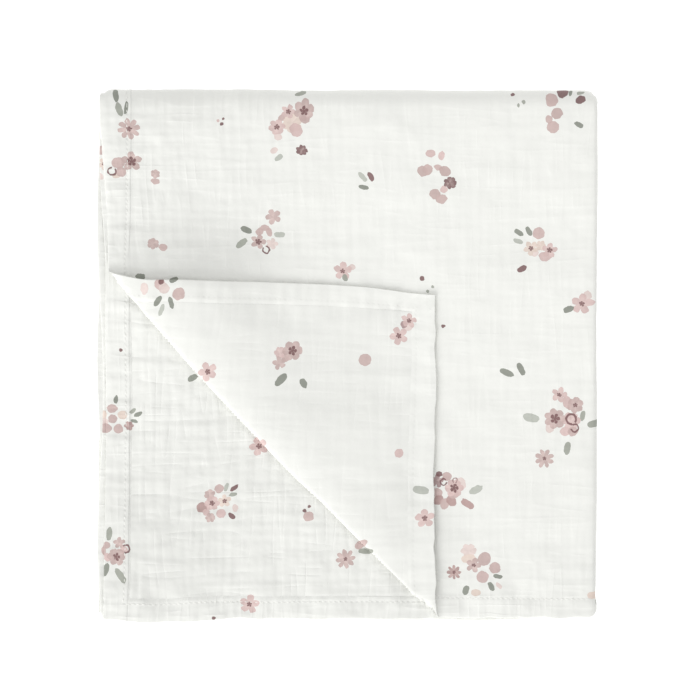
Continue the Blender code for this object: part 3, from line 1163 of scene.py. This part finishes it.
        + blot(0.6, 1.6, 7.6, 6.2, -35, "pink")
        + blot(3.2, -0.8, 7.2, 6.0, -35, "blush")
        + blot(1.2, 3.2, 3.4, 3.4, 0, "plum")
        + blot(12.4, -4.4, 7.8, 7.2, 0, "dusty")
    ),
    "two flowers": (
        blot(1.8, 0.2, 6.6, 4.6, 40, "blush")
        + blot(-1.0, 1.4, 4.8, 4.2, 60, "mauve")
        + flower(2.3, 4.2, 10.0, 5, 10, "pink", 0.3)
        + flower(-4.5, -5.6, 11.6, 5, 40, "pink", 0.3)
    ),
    "pair": (
        blot(-4.6, 1.6, 4.8, 4.4, 0, "dusty")
        + blossom(-7.9, 4.8, 7.0, 6, 0, "pink")
        + blossom(-8.1, -1.2, 8.4, 5, 30, "dusty")
        + flower(-0.4, 5.4, 12.2, 6, 0, "dusty", 0.44)
        + leaf(-6.9, -10.7, 8.8, 45, "moss", 0.5)
        + leaf(6.1, -13.4, 6.2, -58, "moss", 0.6)
    ),
    "cluster": (
        leaf(13.6, -4.7, 5.8, -10, "moss", 0.46)
        + leaf(9.4, -10.7, 6.2, -60, "moss", 0.5)
        + blot(14.1, -10.2, 4.8, 2.6, -45, "blush")
        + leaf(-6.1, -13.0, 6.0, 75, "moss", 0.62)
        + blot(0.1, -14.4, 6.0, 4.4, 0, "peach")
        + blossom(-4.4, 10.6, 9.6, 6, 0, "blush")
        + blot(-4.4, 5.8, 9.2, 5.6, 0, "peach")
        + blot(5.1, 5.8, 8.6, 7.6, 50, "dusty")
        + blot(11.6, 0.5, 7.0, 6.8, 0, "dusty")
        + blot(4.1, -5.0, 7.6, 7.0, 0, "dusty")
        + flower(-1.4, 2.0, 9.4, 5, 0, "dusty", 0.26)
        + flower(-13.4, -2.2, 9.2, 8, 0, "rose", 0.24)
    ),
    "tan bud": blot(-2.6, 0.8, 5.0, 4.6, 0, "peach") + leaf(-1.0, -3.0, 4.4, 80, "sage", 0.5),
}


class Placing(NamedTuple):
    """One spray on the flat cloth: its place in millimetres from the cloth's first corner, and its turn."""

    spray: str
    across: float
    along: float
    turn: float
    flipped: int = 1  # -1 mirrors it


TURNED_BACK = 87  # degrees: how the turned corner shows a spray, which it also mirrors

PLACINGS = (
    # The top layer
    Placing("tall", 19.4, 282.0, 0),
    Placing("drooping", 19.4, 282.0, 0),
    Placing("two buds", 30.5, 263.0, 0),
    Placing("dots", 72, 297, 0),
    Placing("posy", 114.2, 295.8, 0),
    Placing("bud and leaf", 109, 279, 0),
    Placing("star", 100.3, 239.0, 0),
    Placing("sprig", 94.0, 227.2, 0),
    Placing("buds", 29, 220.5, 8),
    Placing("single", 143.2, 207.2, 0),
    Placing("leaves", 154.4, 258.7, 0),
    Placing("arch", 201.3, 264.0, 0),
    Placing("far specks", 245.6, 310.4, 0),
    Placing("hanging", 279.3, 303.9, 0),
    Placing("two stars", 258.1, 223.1, 0),
    Placing("flower and leaf", 291.3, 190.2, 0),
    Placing("specks", 189.8, 203.2, 0),
    Placing("dot", 202.3, 174.8, 0),
    Placing("pair of leaves", 245.2, 148.6, 0),
    Placing("bouquet", 274.8, 123.8, 0),
    Placing("daisy", 264.5, 95.6, 10),
    Placing("hooked", 206.6, 77.9, 0),
    Placing("cluster", 222.8, 29.6, 0),
    Placing("tan bud", 296.2, 12.8, 0),
    Placing("one leaf", 19.2, 201.0, -20),
    Placing("one leaf", 39.2, 198.9, 10),
    # The turned corner, which shows the cloth's other side
    Placing("spread", 4.3, 169.1, TURNED_BACK, -1),
    Placing("star flower", 51.3, 134.5, TURNED_BACK, -1),
    Placing("pair", 44.0, 84.9, TURNED_BACK, -1),
    Placing("two flowers", 22.6, 18.6, TURNED_BACK, -1),
    Placing("bud", 43.5, 42.5, TURNED_BACK, -1),
    Placing("small bud", 98, 21, TURNED_BACK, -1),
    Placing("star flower", 94, 102, TURNED_BACK, -1),
    Placing("long leaf", 119.5, 8, TURNED_BACK, -1),
    Placing("star flower", 136.5, 5.5, TURNED_BACK + 20, -1),
    Placing("pink bud", 152.7, 41.6, TURNED_BACK, -1),
    Placing("slim leaf", 156.9, 39.1, TURNED_BACK, -1),
    # The second layer, other side up
    Placing("star flower", 1090.5, 103.5, 0, -1),
    Placing("one leaf", 1130.5, 145, 0, -1),
    Placing("dot", 1174, 161.5, 0, -1),
    Placing("wreath", 1176.6, 119.4, 0, -1),
    Placing("berries", 1117.6, 71.2, 0, -1),
    Placing("dotted bud", 1061, 64, 0, -1),
    Placing("daisy", 1037.7, 35.8, 0, -1),
    Placing("pink bud", 1028.7, 44.6, 0, -1),
    Placing("slim leaf", 1025.7, 40.5, 0, -1),
    Placing("trailing", 1176.6, 38.6, 0, -1),
    Placing("star flower", 1095.1, 8.9, 30, -1),
    Placing("dot", 1116.5, 1.5, 0, -1),
    # The third layer's rim, where the motifs above it run on
    Placing("wreath", 1174.5, 1140.0, 180),
    Placing("trailing", 1171.4, 1220.9, 180),
)

# Elsewhere the print is an even scatter, in millimetres: its spacing, its turns, and where it stops
SCATTER = 85
SCATTER_TURN = 40
TOP_SHOWS = 325
SECOND_FROM = 950
SECOND_TO = 225
SCATTERED = (
    "posy", "star", "leaves", "arch", "single", "dots", "cluster", "buds", "sprig", "berries", "bouquet"
)


def scattered():
    """Sprays in staggered rows over the cloth inside the packet and round its far and lower folds."""
    width, length = int(CLOTH_WIDTH / MM), int(CLOTH_LENGTH / MM)
    draw = np.random.default_rng(51)
    for row, along in enumerate(range(SCATTER // 4, length, SCATTER)):
        for across in range(SCATTER // 3 + (row % 2) * SCATTER // 2, width, SCATTER):
            spray = SCATTERED[int(draw.integers(len(SCATTERED)))]
            turn = float(draw.uniform(-SCATTER_TURN, SCATTER_TURN))
            on_top = across < TOP_SHOWS and along < TOP_SHOWS
            on_second_layer = across > SECOND_FROM and along < SECOND_TO
            if not (on_top or on_second_layer):
                yield Placing(spray, across, along, turn)


def motifs_on_cloth():
    """Every motif's shape, ink, middle, half sizes and direction, on the flat cloth in metres."""
    for placing in (*PLACINGS, *scattered()):
        turn = math.radians(placing.turn)
        for motif in SPRAYS[placing.spray]:
            x, y = motif.x * placing.flipped, motif.y
            across = placing.across + x * math.cos(turn) - y * math.sin(turn)
            along = placing.along + x * math.sin(turn) + y * math.cos(turn)
            own = math.radians(motif.turn if placing.flipped == 1 else 180 - motif.turn)
            middle = np.array((across, along)) * MM
            halves = np.array((motif.length, motif.width)) * MM / 2
            yield SHAPES[motif.kind], motif.ink, middle, halves, turn + own


def linear(colour):
    """A colour as it looks on a screen, in linear light."""
    return np.array([((value + 0.055) / 1.055) ** 2.4 for value in colour])


def mark(data, name, kind, field, values, domain="POINT"):
    """Keeps values on the mesh for its material to read."""
    layer = data.attributes.new(name, kind, domain)
    layer.data.foreach_set(field, np.ravel(values))


def lay_print(data, flat, colours):
    """Gives each face's corners their places in the motifs that cross it, in order, and their inks."""
    corners = np.empty(len(data.loops), dtype=int)
    data.loops.foreach_get("vertex_index", corners)
    faces = flat[corners][:, :2].reshape(-1, 4, 2)
    centres = faces.mean(axis=1)
    reaches = np.linalg.norm(faces - centres[:, None], axis=2).max(axis=1)
    places = np.full((SLOTS, len(faces), 4, 3), FAR_OFF)
    places[..., 2] = 0
    inks = np.ones((SLOTS, len(faces), 4, 4))
    taken = np.zeros(len(faces), dtype=int)
    for shape, ink, middle, halves, turn in motifs_on_cloth():
        away = np.linalg.norm(centres - middle, axis=1)
        crossed = np.flatnonzero((away < reaches + halves.max() + MM / 2) & (taken < SLOTS))
        slot = taken[crossed]
        from_middle = faces[crossed] - middle
        direction = np.array((math.cos(turn), math.sin(turn)))
        sideways = np.array((-direction[1], direction[0]))
        places[slot, crossed, :, 0] = from_middle @ direction / halves[0]
        places[slot, crossed, :, 1] = from_middle @ sideways / halves[1]
        places[slot, crossed, :, 2] = shape
        inks[slot, crossed, :, :3] = linear(getattr(colours, ink))
        inks[slot, crossed, :, 3] = math.sqrt(halves[0] * halves[1]) / MM
        taken[crossed] += 1
    for slot in range(SLOTS):
        mark(data, f"motif_{slot}", "FLOAT_VECTOR", "vector", places[slot], "CORNER")
        mark(data, f"ink_{slot}", "FLOAT_COLOR", "color", inks[slot], "CORNER")
    weave = data.uv_layers.new(name="Weave")
    weave.data.foreach_set("uv", flat[corners][:, :2].ravel())


def adds_node(operation):
    """What Wire's arithmetic does: each sign between two values adds one Math node."""

    def arithmetic(wire, other):
        return wire.maths(operation, other)

    return arithmetic


class Wire:
    """An output of a material's node. Sums, products and powers of wires add Math nodes."""

    __add__ = __radd__ = adds_node("ADD")
    __mul__ = __rmul__ = adds_node("MULTIPLY")
    __sub__ = adds_node("SUBTRACT")
    __truediv__ = adds_node("DIVIDE")
    __pow__ = adds_node("POWER")

    def __init__(self, recipe, socket):
        self.recipe = recipe
        self.socket = socket

    def maths(self, operation, *others):
        values = dict(enumerate((self, *others)))
        node = self.recipe.node("ShaderNodeMath", {"operation": operation}, values)
        return Wire(self.recipe, node.outputs[0])

    def __rsub__(self, other):
        return self.maths("MULTIPLY_ADD", -1.0, other)

    def __abs__(self):
        return self.maths("ABSOLUTE")

    def clamped(self):
        return self.maths("MINIMUM", 1.0).maths("MAXIMUM", 0.0)

    def scaled(self, colour):
        """The colour, made lighter or darker by this number."""
        settings = {"operation": "SCALE"}
        node = self.recipe.node("ShaderNodeVectorMath", settings, {0: colour, "Scale": self})
        return Wire(self.recipe, node.outputs["Vector"])


class Recipe:
    """The nodes of one material."""

    def __init__(self, name):
        self.material = bpy.data.materials.new(name)
        self.material.use_nodes = True
        self.tree = self.material.node_tree
        self.shader = self.tree.nodes["Principled BSDF"]

    def node(self, kind, settings, inputs):
        """A node with its settings, and the values or wires of its inputs."""
        node = self.tree.nodes.new(kind)
        for name, value in settings.items():
            setattr(node, name, value)
        for name, value in inputs.items():
            self.feed(node.inputs[name], value)
        return node

    def feed(self, socket, value):
        if isinstance(value, Wire):
            self.tree.links.new(value.socket, socket)
        else:
            socket.default_value = value

    def output(self, node, name):
        return Wire(self, node.outputs[name])

    def attribute(self, name):
        return self.node("ShaderNodeAttribute", {"attribute_name": name}, {})

    def split(self, vector):
        node = self.node("ShaderNodeSeparateXYZ", {}, {0: vector})
        return [Wire(self, output) for output in node.outputs]

    def finish(self, settings):
        """Sets the shader's own inputs."""
        for name, value in settings.items():
            self.feed(self.shader.inputs[name], value)

    def bump(self, strength, distance, height):
        inputs = {"Strength": strength, "Distance": distance, "Height": height}
        return self.output(self.node("ShaderNodeBump", {}, inputs), "Normal")

    def mix(self, factor, first, second):
        node = self.node("ShaderNodeMix", {"data_type": "RGBA"}, {0: factor, 6: first, 7: second})
        return Wire(self, node.outputs[2])

    def noise(self, place, grain, detail=0.0):
        """Noise from about -1 to 1 on the flat cloth. The grain is its cells a metre, across and along."""
        stretched = self.node("ShaderNodeMapping", {}, {"Vector": place, "Scale": (*grain, 1)})
        noise = self.node(
            "ShaderNodeTexNoise",
            {"noise_dimensions": "2D"},
            {"Vector": self.output(stretched, "Vector"), "Scale": 1.0, "Detail": detail},
        )
        return self.output(noise, "Fac") * 2 - 1


# The motifs' shapes, in shares of their radius. The petals' width and the leaves' fullness are powers, and
# the arc's opening is an angle
STAR_NOTCH = 0.55
HEAD_NOTCH = 0.26
PETAL_WIDTH = 0.6
LEAF_FULLNESS = 2.6
HEART_COUNT = 5
HEART_RING = 0.66
HEART_SIZE = 0.36
ARC_WIDTH = 0.19
ARC_OPENING = 0.35

# Their painted edges, in millimetres: how far they wander, how soft they are and how wide the rim is
WARP = 0.55
WOBBLE = 0.12
SOFT_EDGE = 0.24
RIM = 0.7

# How far the ink covers, and how it varies: with its wash, at the rim, from petal to petal, and as it
# fades towards the middle
PAINT_COVER = 0.93
WASH_TONE = 0.08
RIM_TONE = 0.04
MOOD_TONE = 0.05
PETAL_MOOD = 2.4
SIZE_MOOD = 9
FADE = 0.38
FADE_REACH = 0.75
FADE_WASH = 0.8
FADE_MOOD = 0.25


def is_kind(shape, kind):
    """1 where the shape is of this kind, and else 0."""
    return shape.maths("COMPARE", SHAPES[kind], 0.5)


def painted(recipe, ground, slot, warps, wash, washed_out):
    """The ground colour with one slot's motif painted over it."""
    place = recipe.attribute(f"motif_{slot}")
    paint = recipe.attribute(f"ink_{slot}")
    size = recipe.output(paint, "Alpha")
    x, y, shape = recipe.split(recipe.output(place, "Vector"))
    x = x + warps[0] / size
    y = y + warps[1] / size
    radius = (x * x + y * y) ** 0.5
    angle = y.maths("ARCTAN2", x)
    petals = shape.maths("MAXIMUM", 0.0)
    lobes = abs((angle * petals * 0.5).maths("COSINE")) ** PETAL_WIDTH
    is_star = is_kind(shape, "flower5") + is_kind(shape, "flower8")
    notch = HEAD_NOTCH + is_star * (STAR_NOTCH - HEAD_NOTCH)
    flower = 1 - notch * (1 - lobes) - radius
    leaf = 1 - abs(x) ** LEAF_FULLNESS - y * y
    share = 2 * math.pi / HEART_COUNT
    off_heart = (angle / share).maths("WRAP", 0.5, -0.5) * share
    heart_x = radius * off_heart.maths("COSINE") - HEART_RING
    heart_y = radius * off_heart.maths("SINE")
    ring = HEART_SIZE - (heart_x * heart_x + heart_y * heart_y) ** 0.5
    hearts = ring.maths("MAXIMUM", HEART_SIZE - radius)
    arc = (ARC_WIDTH - abs(radius - (1 - ARC_WIDTH))).maths("MINIMUM", abs(angle) - ARC_OPENING)
    is_flower_or_blot = shape.maths("GREATER_THAN", -0.5)
    inside = flower * is_flower_or_blot + leaf * is_kind(shape, "leaf")
    inside = inside + arc * is_kind(shape, "arc") + hearts * is_kind(shape, "hearts")
    depth = inside * size
    cover = (depth / SOFT_EDGE + 0.5).clamped()
    rim = (1 - depth / RIM).clamped()
    petal = (angle * petals * (0.5 / math.pi)).maths("ROUND")
    mood = (petal * PETAL_MOOD + size * SIZE_MOOD).maths("SINE")
    tone = 1 + wash * WASH_TONE - rim * RIM_TONE + mood * MOOD_TONE
    faded = (FADE_REACH - radius + wash * FADE_WASH + mood * FADE_MOOD).clamped() * petals.clamped() * FADE
    ink = recipe.mix(faded, recipe.output(paint, "Color"), washed_out)
    return recipe.mix(cover * PAINT_COVER, ground, tone.scaled(ink))


# Grains of the print's edges and wash, in cells a metre across and along
WARP_GRAINS = ((330, 360), (365, 325))
WOBBLE_GRAINS = ((900, 940), (930, 890))
WASH_GRAIN = (420, 420)

# Grains of the muslin: its shades, the creases along its threads and where they are, its waves and blocks
SHADE_GRAIN = (30, 30)
CROSSWISE_CREASES = (15, 150)
CROSSWISE_PATCHES = (62, 58)
LENGTHWISE_CREASES = (160, 16)
LENGTHWISE_PATCHES = (57, 66)
CROSSWISE_WAVES = (24, 230)
LENGTHWISE_WAVES = (220, 26)
BLOCK_GRAIN = (130, 140)

# How much stronger the lengthwise waves are, how far apart the threads lie in metres, and how sharp and
# patchy the creases are
LENGTHWISE_SHARE = 1.4
THREAD_PITCH = 0.00046
CREASE_SHARPNESS = 3.0
CREASE_CONTRAST = 2.2
CREASE_EVERYWHERE = 0.45

# Where the rows of stitches start, from the cloth's corners
STITCH_START = 0.0120

# Half the width of the stitches' dimples and of the line over the allowance's end, in millimetres
DIMPLE_HALF = 0.9
EDGE_LINE_HALF = 0.6

# Heights in the muslin's relief, in millimetres
CREASE_HEIGHT = 0.16
WAVE_HEIGHT = 0.17
BLOCK_HEIGHT = 0.19
THREAD_HEIGHT = 0.004
DIMPLE_DEPTH = 0.15
EDGE_LINE_DEPTH = 0.16

# How each changes the colour: the random shade's tone, painted highlight on the creases' crests, and painted
# shade in the stitches' dimples and along the allowance's end
SHADE_TONE = 0.010
CREASE_HIGHLIGHT = 0.03
DIMPLE_SHADE = 0.06
EDGE_LINE_SHADE = 0.085

MUSLIN_FINISH = {"Roughness": 0.92, "Specular IOR Level": 0.25, "Sheen Weight": 0.12, "Sheen Roughness": 0.5}


def creases(recipe, flat, grain, patches_grain):
    """Thin straight ridges where the double cloth creases along its threads, here and there."""
    patches = recipe.noise(flat, patches_grain, 1.0)
    ridge = (1 - abs(recipe.noise(flat, grain)) * CREASE_SHARPNESS).clamped()
    return ridge * ridge * (patches * CREASE_CONTRAST + CREASE_EVERYWHERE).clamped()


def dimples_beside(to_seam, to_other_seams, along_seam, pitch):
    """Pulls in the cloth between the stitches of one pair of seams, as far as the seams that cross them."""
    beside = (1 - abs(to_seam) / DIMPLE_HALF).clamped()
    between = 0.5 - ((along_seam - STITCH_START) * (2 * math.pi / pitch)).maths("COSINE") * 0.5
    return beside * between * (to_other_seams + 1).clamped()


def muslin(colours, sizes):
    """The printed gauze: its relief, its random tone with painted shade and highlight, and every slot's
    motif painted over them in turn.
    """
    recipe = Recipe("Printed_muslin")
    uv = recipe.node("ShaderNodeUVMap", {"uv_map": "Weave"}, {})
    flat = recipe.output(uv, "UV")
    across, along, _ = recipe.split(flat)
    warps = [
        recipe.noise(flat, slow, 1.0) * WARP + recipe.noise(flat, quick) * WOBBLE
        for slow, quick in zip(WARP_GRAINS, WOBBLE_GRAINS)
    ]
    wash = recipe.noise(flat, WASH_GRAIN, 2.0)
    shade = recipe.noise(flat, SHADE_GRAIN, 2.0)
    looseness = recipe.output(recipe.attribute("looseness"), "Fac")
    painted_shade = recipe.output(recipe.attribute("painted_shade"), "Fac")
    crosswise = creases(recipe, flat, CROSSWISE_CREASES, CROSSWISE_PATCHES)
    crests = crosswise + creases(recipe, flat, LENGTHWISE_CREASES, LENGTHWISE_PATCHES)
    to_side, to_end, hem_shows = recipe.split(recipe.output(recipe.attribute("seam"), "Vector"))
    # Dimples pulled in by the stitches: a hollow in the relief, and painted shade in the colour
    side_dimples = dimples_beside(to_side, to_end, along, sizes.stitch_pitch)
    end_dimples = dimples_beside(to_end, to_side, across, sizes.stitch_pitch)
    dimples = side_dimples.maths("MAXIMUM", end_dimples) * looseness.clamped()
    # A line where the allowance under the hem ends: a step in the relief, and painted shade in the colour
    edge_line = (1 - abs(to_side - sizes.allowance / MM) / EDGE_LINE_HALF).clamped() * hem_shows
    # The cloth's tone: a random shade, less the painted shade kept on the mesh, with painted highlight on
    # the creases' crests, then painted shade in the stitches' dimples and along the allowance's end
    lightness = 1 + shade * SHADE_TONE - painted_shade + crests * looseness * CREASE_HIGHLIGHT
    lightness = lightness - dimples * DIMPLE_SHADE - edge_line * EDGE_LINE_SHADE
    colour = lightness.scaled(linear(colours.muslin))
    washed_out = (*linear(colours.washed), 1)
    for slot in range(SLOTS):
        colour = painted(recipe, colour, slot, warps, wash, washed_out)
    waves = recipe.noise(flat, CROSSWISE_WAVES) + recipe.noise(flat, LENGTHWISE_WAVES) * LENGTHWISE_SHARE
    blocks = recipe.noise(flat, BLOCK_GRAIN, 1.0)
    thread = 2 * math.pi / THREAD_PITCH
    threads = (across * thread).maths("SINE") + (along * thread).maths("SINE")
    crinkle = crests * CREASE_HEIGHT + waves * WAVE_HEIGHT + blocks * BLOCK_HEIGHT
    height = crinkle * looseness + threads * THREAD_HEIGHT
    height = height - dimples * DIMPLE_DEPTH - edge_line * EDGE_LINE_DEPTH
    recipe.finish({"Base Color": colour, "Normal": recipe.bump(1.0, MM, height), **MUSLIN_FINISH})
    return recipe.material


# The stitches: each one's size, the beads they start as, the depth of their groove on the cloth's back as a
# share of the front's, and how much deeper those on the turned corner's back lie
STITCH_SIZE = np.array((0.0023, 0.0005, 0.00036))
STITCH_SEGMENTS = 6
STITCH_RINGS = 3
BEAD = 0.1
BACK_GROOVE = 0.6
STITCH_SINK = 0.00012

# Their thread: its grain in cells a metre, its darkest tone and how much lighter it gets, and its relief
COTTON_GRAIN = 2600.0
COTTON_DARKEST = 0.94
COTTON_VARIES = 0.12
COTTON_BUMP = 0.6
COTTON_RELIEF = 0.0001
COTTON_FINISH = {"Roughness": 0.7, "Sheen Weight": 0.2}


def cotton_thread(colours):
    """The stitches' twisted cotton."""
    recipe = Recipe("Cotton_thread")
    place = recipe.node("ShaderNodeTexCoord", {}, {})
    inputs = {"Vector": recipe.output(place, "Object"), "Scale": COTTON_GRAIN}
    grain = recipe.output(recipe.node("ShaderNodeTexNoise", {}, inputs), "Fac")
    shade = COTTON_DARKEST + grain * COTTON_VARIES
    colour = shade.scaled(linear(colours.thread))
    normal = recipe.bump(COTTON_BUMP, COTTON_RELIEF, grain)
    recipe.finish({"Base Color": colour, "Normal": normal, **COTTON_FINISH})
    return recipe.material


def seam_places(across, along):
    """How far inside the side and the end seams a place lies, in millimetres, and 1 where the hem shows."""
    distances, widths = edge_distances(across, along), hem_widths(across, along)
    inside = [(distance - width) / MM for distance, width in zip(distances, widths)]
    to_side = np.minimum(inside[0], inside[1])
    to_end = np.minimum(inside[2], inside[3])
    hem_shows = np.where(across < CLOTH_WIDTH / 2, beyond_corner(along), 1)
    return np.column_stack([to_side, to_end, hem_shows])


def stitch_places(sizes):
    """The stitches' middles on both faces of the flat cloth, and 1 for those that run along its length."""
    rows = []
    for edge in range(4):
        lengthwise = edge < 2
        length = CLOTH_LENGTH if lengthwise else CLOTH_WIDTH
        run = np.arange(STITCH_START, length - STITCH_START, sizes.stitch_pitch)
        across, along = (np.zeros_like(run), run) if lengthwise else (run, np.zeros_like(run))
        inset = hem_widths(across, along)[edge]
        if edge % 2:
            inset = (CLOTH_WIDTH if lengthwise else CLOTH_LENGTH) - inset
        across, along = (inset, run) if lengthwise else (run, inset)
        on_back = undulation(across, along, sizes)
        on_back += sizes.groove * BACK_GROOVE - sizes.hem_half * hem_relief(across, along)
        on_back += STITCH_SINK * in_corner(across, along)
        for height in (face_heights(across, along, sizes), on_back):
            rows.append(np.column_stack([across, along, height, np.full_like(run, lengthwise)]))
    places = np.concatenate(rows)
    return places[:, :3], places[:, 3]


def row_of_copies(mesh, count):
    """Doubles what is in the mesh until it holds the given number of copies, one metre apart."""
    made = 1
    while made < count:
        copied = bmesh.ops.duplicate(mesh, geom=mesh.verts[:] + mesh.edges[:] + mesh.faces[:])["geom"]
        verts = [part for part in copied if isinstance(part, bmesh.types.BMVert)]
        bmesh.ops.translate(mesh, verts=verts, vec=(made, 0, 0))
        made *= 2
    spare = [vertex for vertex in mesh.verts if vertex.co.x > count - 0.5]
    bmesh.ops.delete(mesh, geom=spare, context="VERTS")


def finished(context, name, mesh, material):
    """Makes the mesh an object of the scene, smooth and of one material."""
    data = bpy.data.meshes.new(name)
    mesh.to_mesh(data)
    mesh.free()
    data.polygons.foreach_set("use_smooth", [True] * len(data.polygons))
    data.materials.append(material)
    piece = bpy.data.objects.new(name, data)
    context.scene.collection.objects.link(piece)
    return piece


class SWADDLE_OT_cloth(bpy.types.Operator):
    """Weaves the flat cloth, turns its hems and folds it into the packet"""

    bl_idname = "swaddle.cloth"
    bl_label = "Fold the Cloth"

    def execute(self, context):
        sizes = context.scene.swaddle_cloth
        colours = context.scene.swaddle_colours
        mesh = bmesh.new()
        weave_flat(mesh, sizes)
        turn_hems(mesh, sizes)
        bmesh.ops.recalc_face_normals(mesh, faces=mesh.faces[:])
        cloth = finished(context, "Muslin_cloth", mesh, muslin(colours, sizes))
        data = cloth.data
        flat = np.empty(len(data.vertices) * 3)
        data.vertices.foreach_get("co", flat)
        flat = flat.reshape(-1, 3)
        data.vertices.foreach_set("co", folded(flat, sizes).ravel())
        across, along = flat[:, 0], flat[:, 1]
        lay_print(data, flat, colours)
        mark(data, "looseness", "FLOAT", "value", crumpling(across, along))
        # The painted shade, which the material darkens the cloth by
        mark(data, "painted_shade", "FLOAT", "value", painted_shading(across, along, sizes))
        mark(data, "seam", "FLOAT_VECTOR", "vector", seam_places(across, along))
        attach(cloth, BODY)
        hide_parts(CAD_NODE)
        return {"FINISHED"}


class SWADDLE_OT_stitches(bpy.types.Operator):
    """Sews one row of small stitches round the hems, seen on both faces of the cloth"""

    bl_idname = "swaddle.stitches"
    bl_label = "Sew the Hems"

    def execute(self, context):
        sizes = context.scene.swaddle_cloth
        middles, lengthwise = stitch_places(sizes)
        lie_down = Matrix.Rotation(math.pi / 2, 3, "Y")
        mesh = bmesh.new()
        bmesh.ops.create_uvsphere(mesh, u_segments=STITCH_SEGMENTS, v_segments=STITCH_RINGS, radius=BEAD)
        bmesh.ops.transform(mesh, matrix=lie_down, verts=mesh.verts[:])
        row_of_copies(mesh, len(middles))
        beads = places_of(mesh.verts)
        number = np.rint(beads[:, 0]).astype(int)
        beads[:, 0] -= number
        shaped = beads / BEAD * STITCH_SIZE / 2
        turned = np.column_stack([-shaped[:, 1], shaped[:, 0], shaped[:, 2]])
        flat = middles[number] + np.where(lengthwise[number, None] > 0, turned, shaped)
        put(mesh.verts, folded(flat, sizes))
        bmesh.ops.recalc_face_normals(mesh, faces=mesh.faces[:])
        thread = cotton_thread(context.scene.swaddle_colours)
        stitches = finished(context, "Hem_stitches", mesh, thread)
        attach(stitches, BODY)
        return {"FINISHED"}


# The stage: a floor that glows white like the photograph's ground, and the camera over the packet's top
FLOOR_HALF = 30
FLOOR_GREY = 0.2
WHITE = (1, 1, 1, 1)
PACKET_TOP = 0.0215
VIEW_MIDDLE = (0.00072, 0.0032)
SIGHT = 50


class SWADDLE_OT_stage(bpy.types.Operator):
    """Sets up the floor, the light and the camera straight above"""

    bl_idname = "swaddle.stage"
    bl_label = "Set the Stage"

    def execute(self, context):
        sizes = context.scene.swaddle_stage
        scene = context.scene
        mesh = bmesh.new()
        bmesh.ops.create_grid(mesh, x_segments=1, y_segments=1, size=FLOOR_HALF)
        ground = Recipe("Floor")
        grey = (FLOOR_GREY, FLOOR_GREY, FLOOR_GREY, 1)
        ground.finish({"Base Color": grey, "Emission Color": WHITE, "Emission Strength": 1.0})
        floor = finished(context, "Floor", mesh, ground.material)
        floor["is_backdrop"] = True
        world = bpy.data.worlds.new("Room")
        scene.world = world
        world.use_nodes = True
        background = world.node_tree.nodes["Background"]
        background.inputs["Color"].default_value = WHITE
        background.inputs["Strength"].default_value = sizes.sky
        scene.view_settings.view_transform = "Standard"
        sun = bpy.data.lights.new("Key", "SUN")
        sun.energy = sizes.key
        sun.angle = sizes.key_softness
        key = bpy.data.objects.new("Key", sun)
        key.rotation_euler = (math.pi / 2 - sizes.key_height, 0, -sizes.key_side)
        scene.collection.objects.link(key)
        lens = bpy.data.cameras.new("Camera")
        lens.lens = sizes.lens
        lens.clip_end = SIGHT
        camera = bpy.data.objects.new("Camera", lens)
        distance = sizes.view_width * sizes.lens / lens.sensor_width
        camera.location = (*VIEW_MIDDLE, PACKET_TOP + distance)
        scene.collection.objects.link(camera)
        scene.camera = camera
        return {"FINISHED"}


GROUPS = {"swaddle_cloth": ClothSizes, "swaddle_colours": ClothColours, "swaddle_stage": StageSizes}
OPERATORS = (SWADDLE_OT_cloth, SWADDLE_OT_stitches, SWADDLE_OT_stage)


class SWADDLE_PT_panel(bpy.types.Panel):
    """Lists the steps, and the sizes and colours that they use"""

    bl_label = "Folded Swaddle"
    bl_space_type = "VIEW_3D"
    bl_region_type = "UI"
    bl_category = "Swaddle"

    def draw(self, context):
        for operator in OPERATORS:
            self.layout.operator(operator.bl_idname)
        for place, kind in GROUPS.items():
            group = getattr(context.scene, place)
            box = self.layout.box()
            for name in kind.__annotations__:
                box.prop(group, name)


CLASSES = (*GROUPS.values(), *OPERATORS, SWADDLE_PT_panel)


def register():
    for kind in CLASSES:
        bpy.utils.register_class(kind)
    for name, group in GROUPS.items():
        setattr(bpy.types.Scene, name, bpy.props.PointerProperty(type=group))


def unregister():
    for name in GROUPS:
        delattr(bpy.types.Scene, name)
    for kind in reversed(CLASSES):
        bpy.utils.unregister_class(kind)


def write_sizes():
    """Puts the CAD model's box and the visual model's into a table, which it does not keep."""
    boxes = {"cad": CAD_BOX, "visual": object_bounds()}
    {name: [list(corner) for corner in box] for name, box in boxes.items()}


def main():
    register()
    bpy.ops.swaddle.cloth()
    bpy.ops.swaddle.stitches()
    bpy.ops.swaddle.stage()
    write_sizes()


if __name__ == "__main__":
    main()
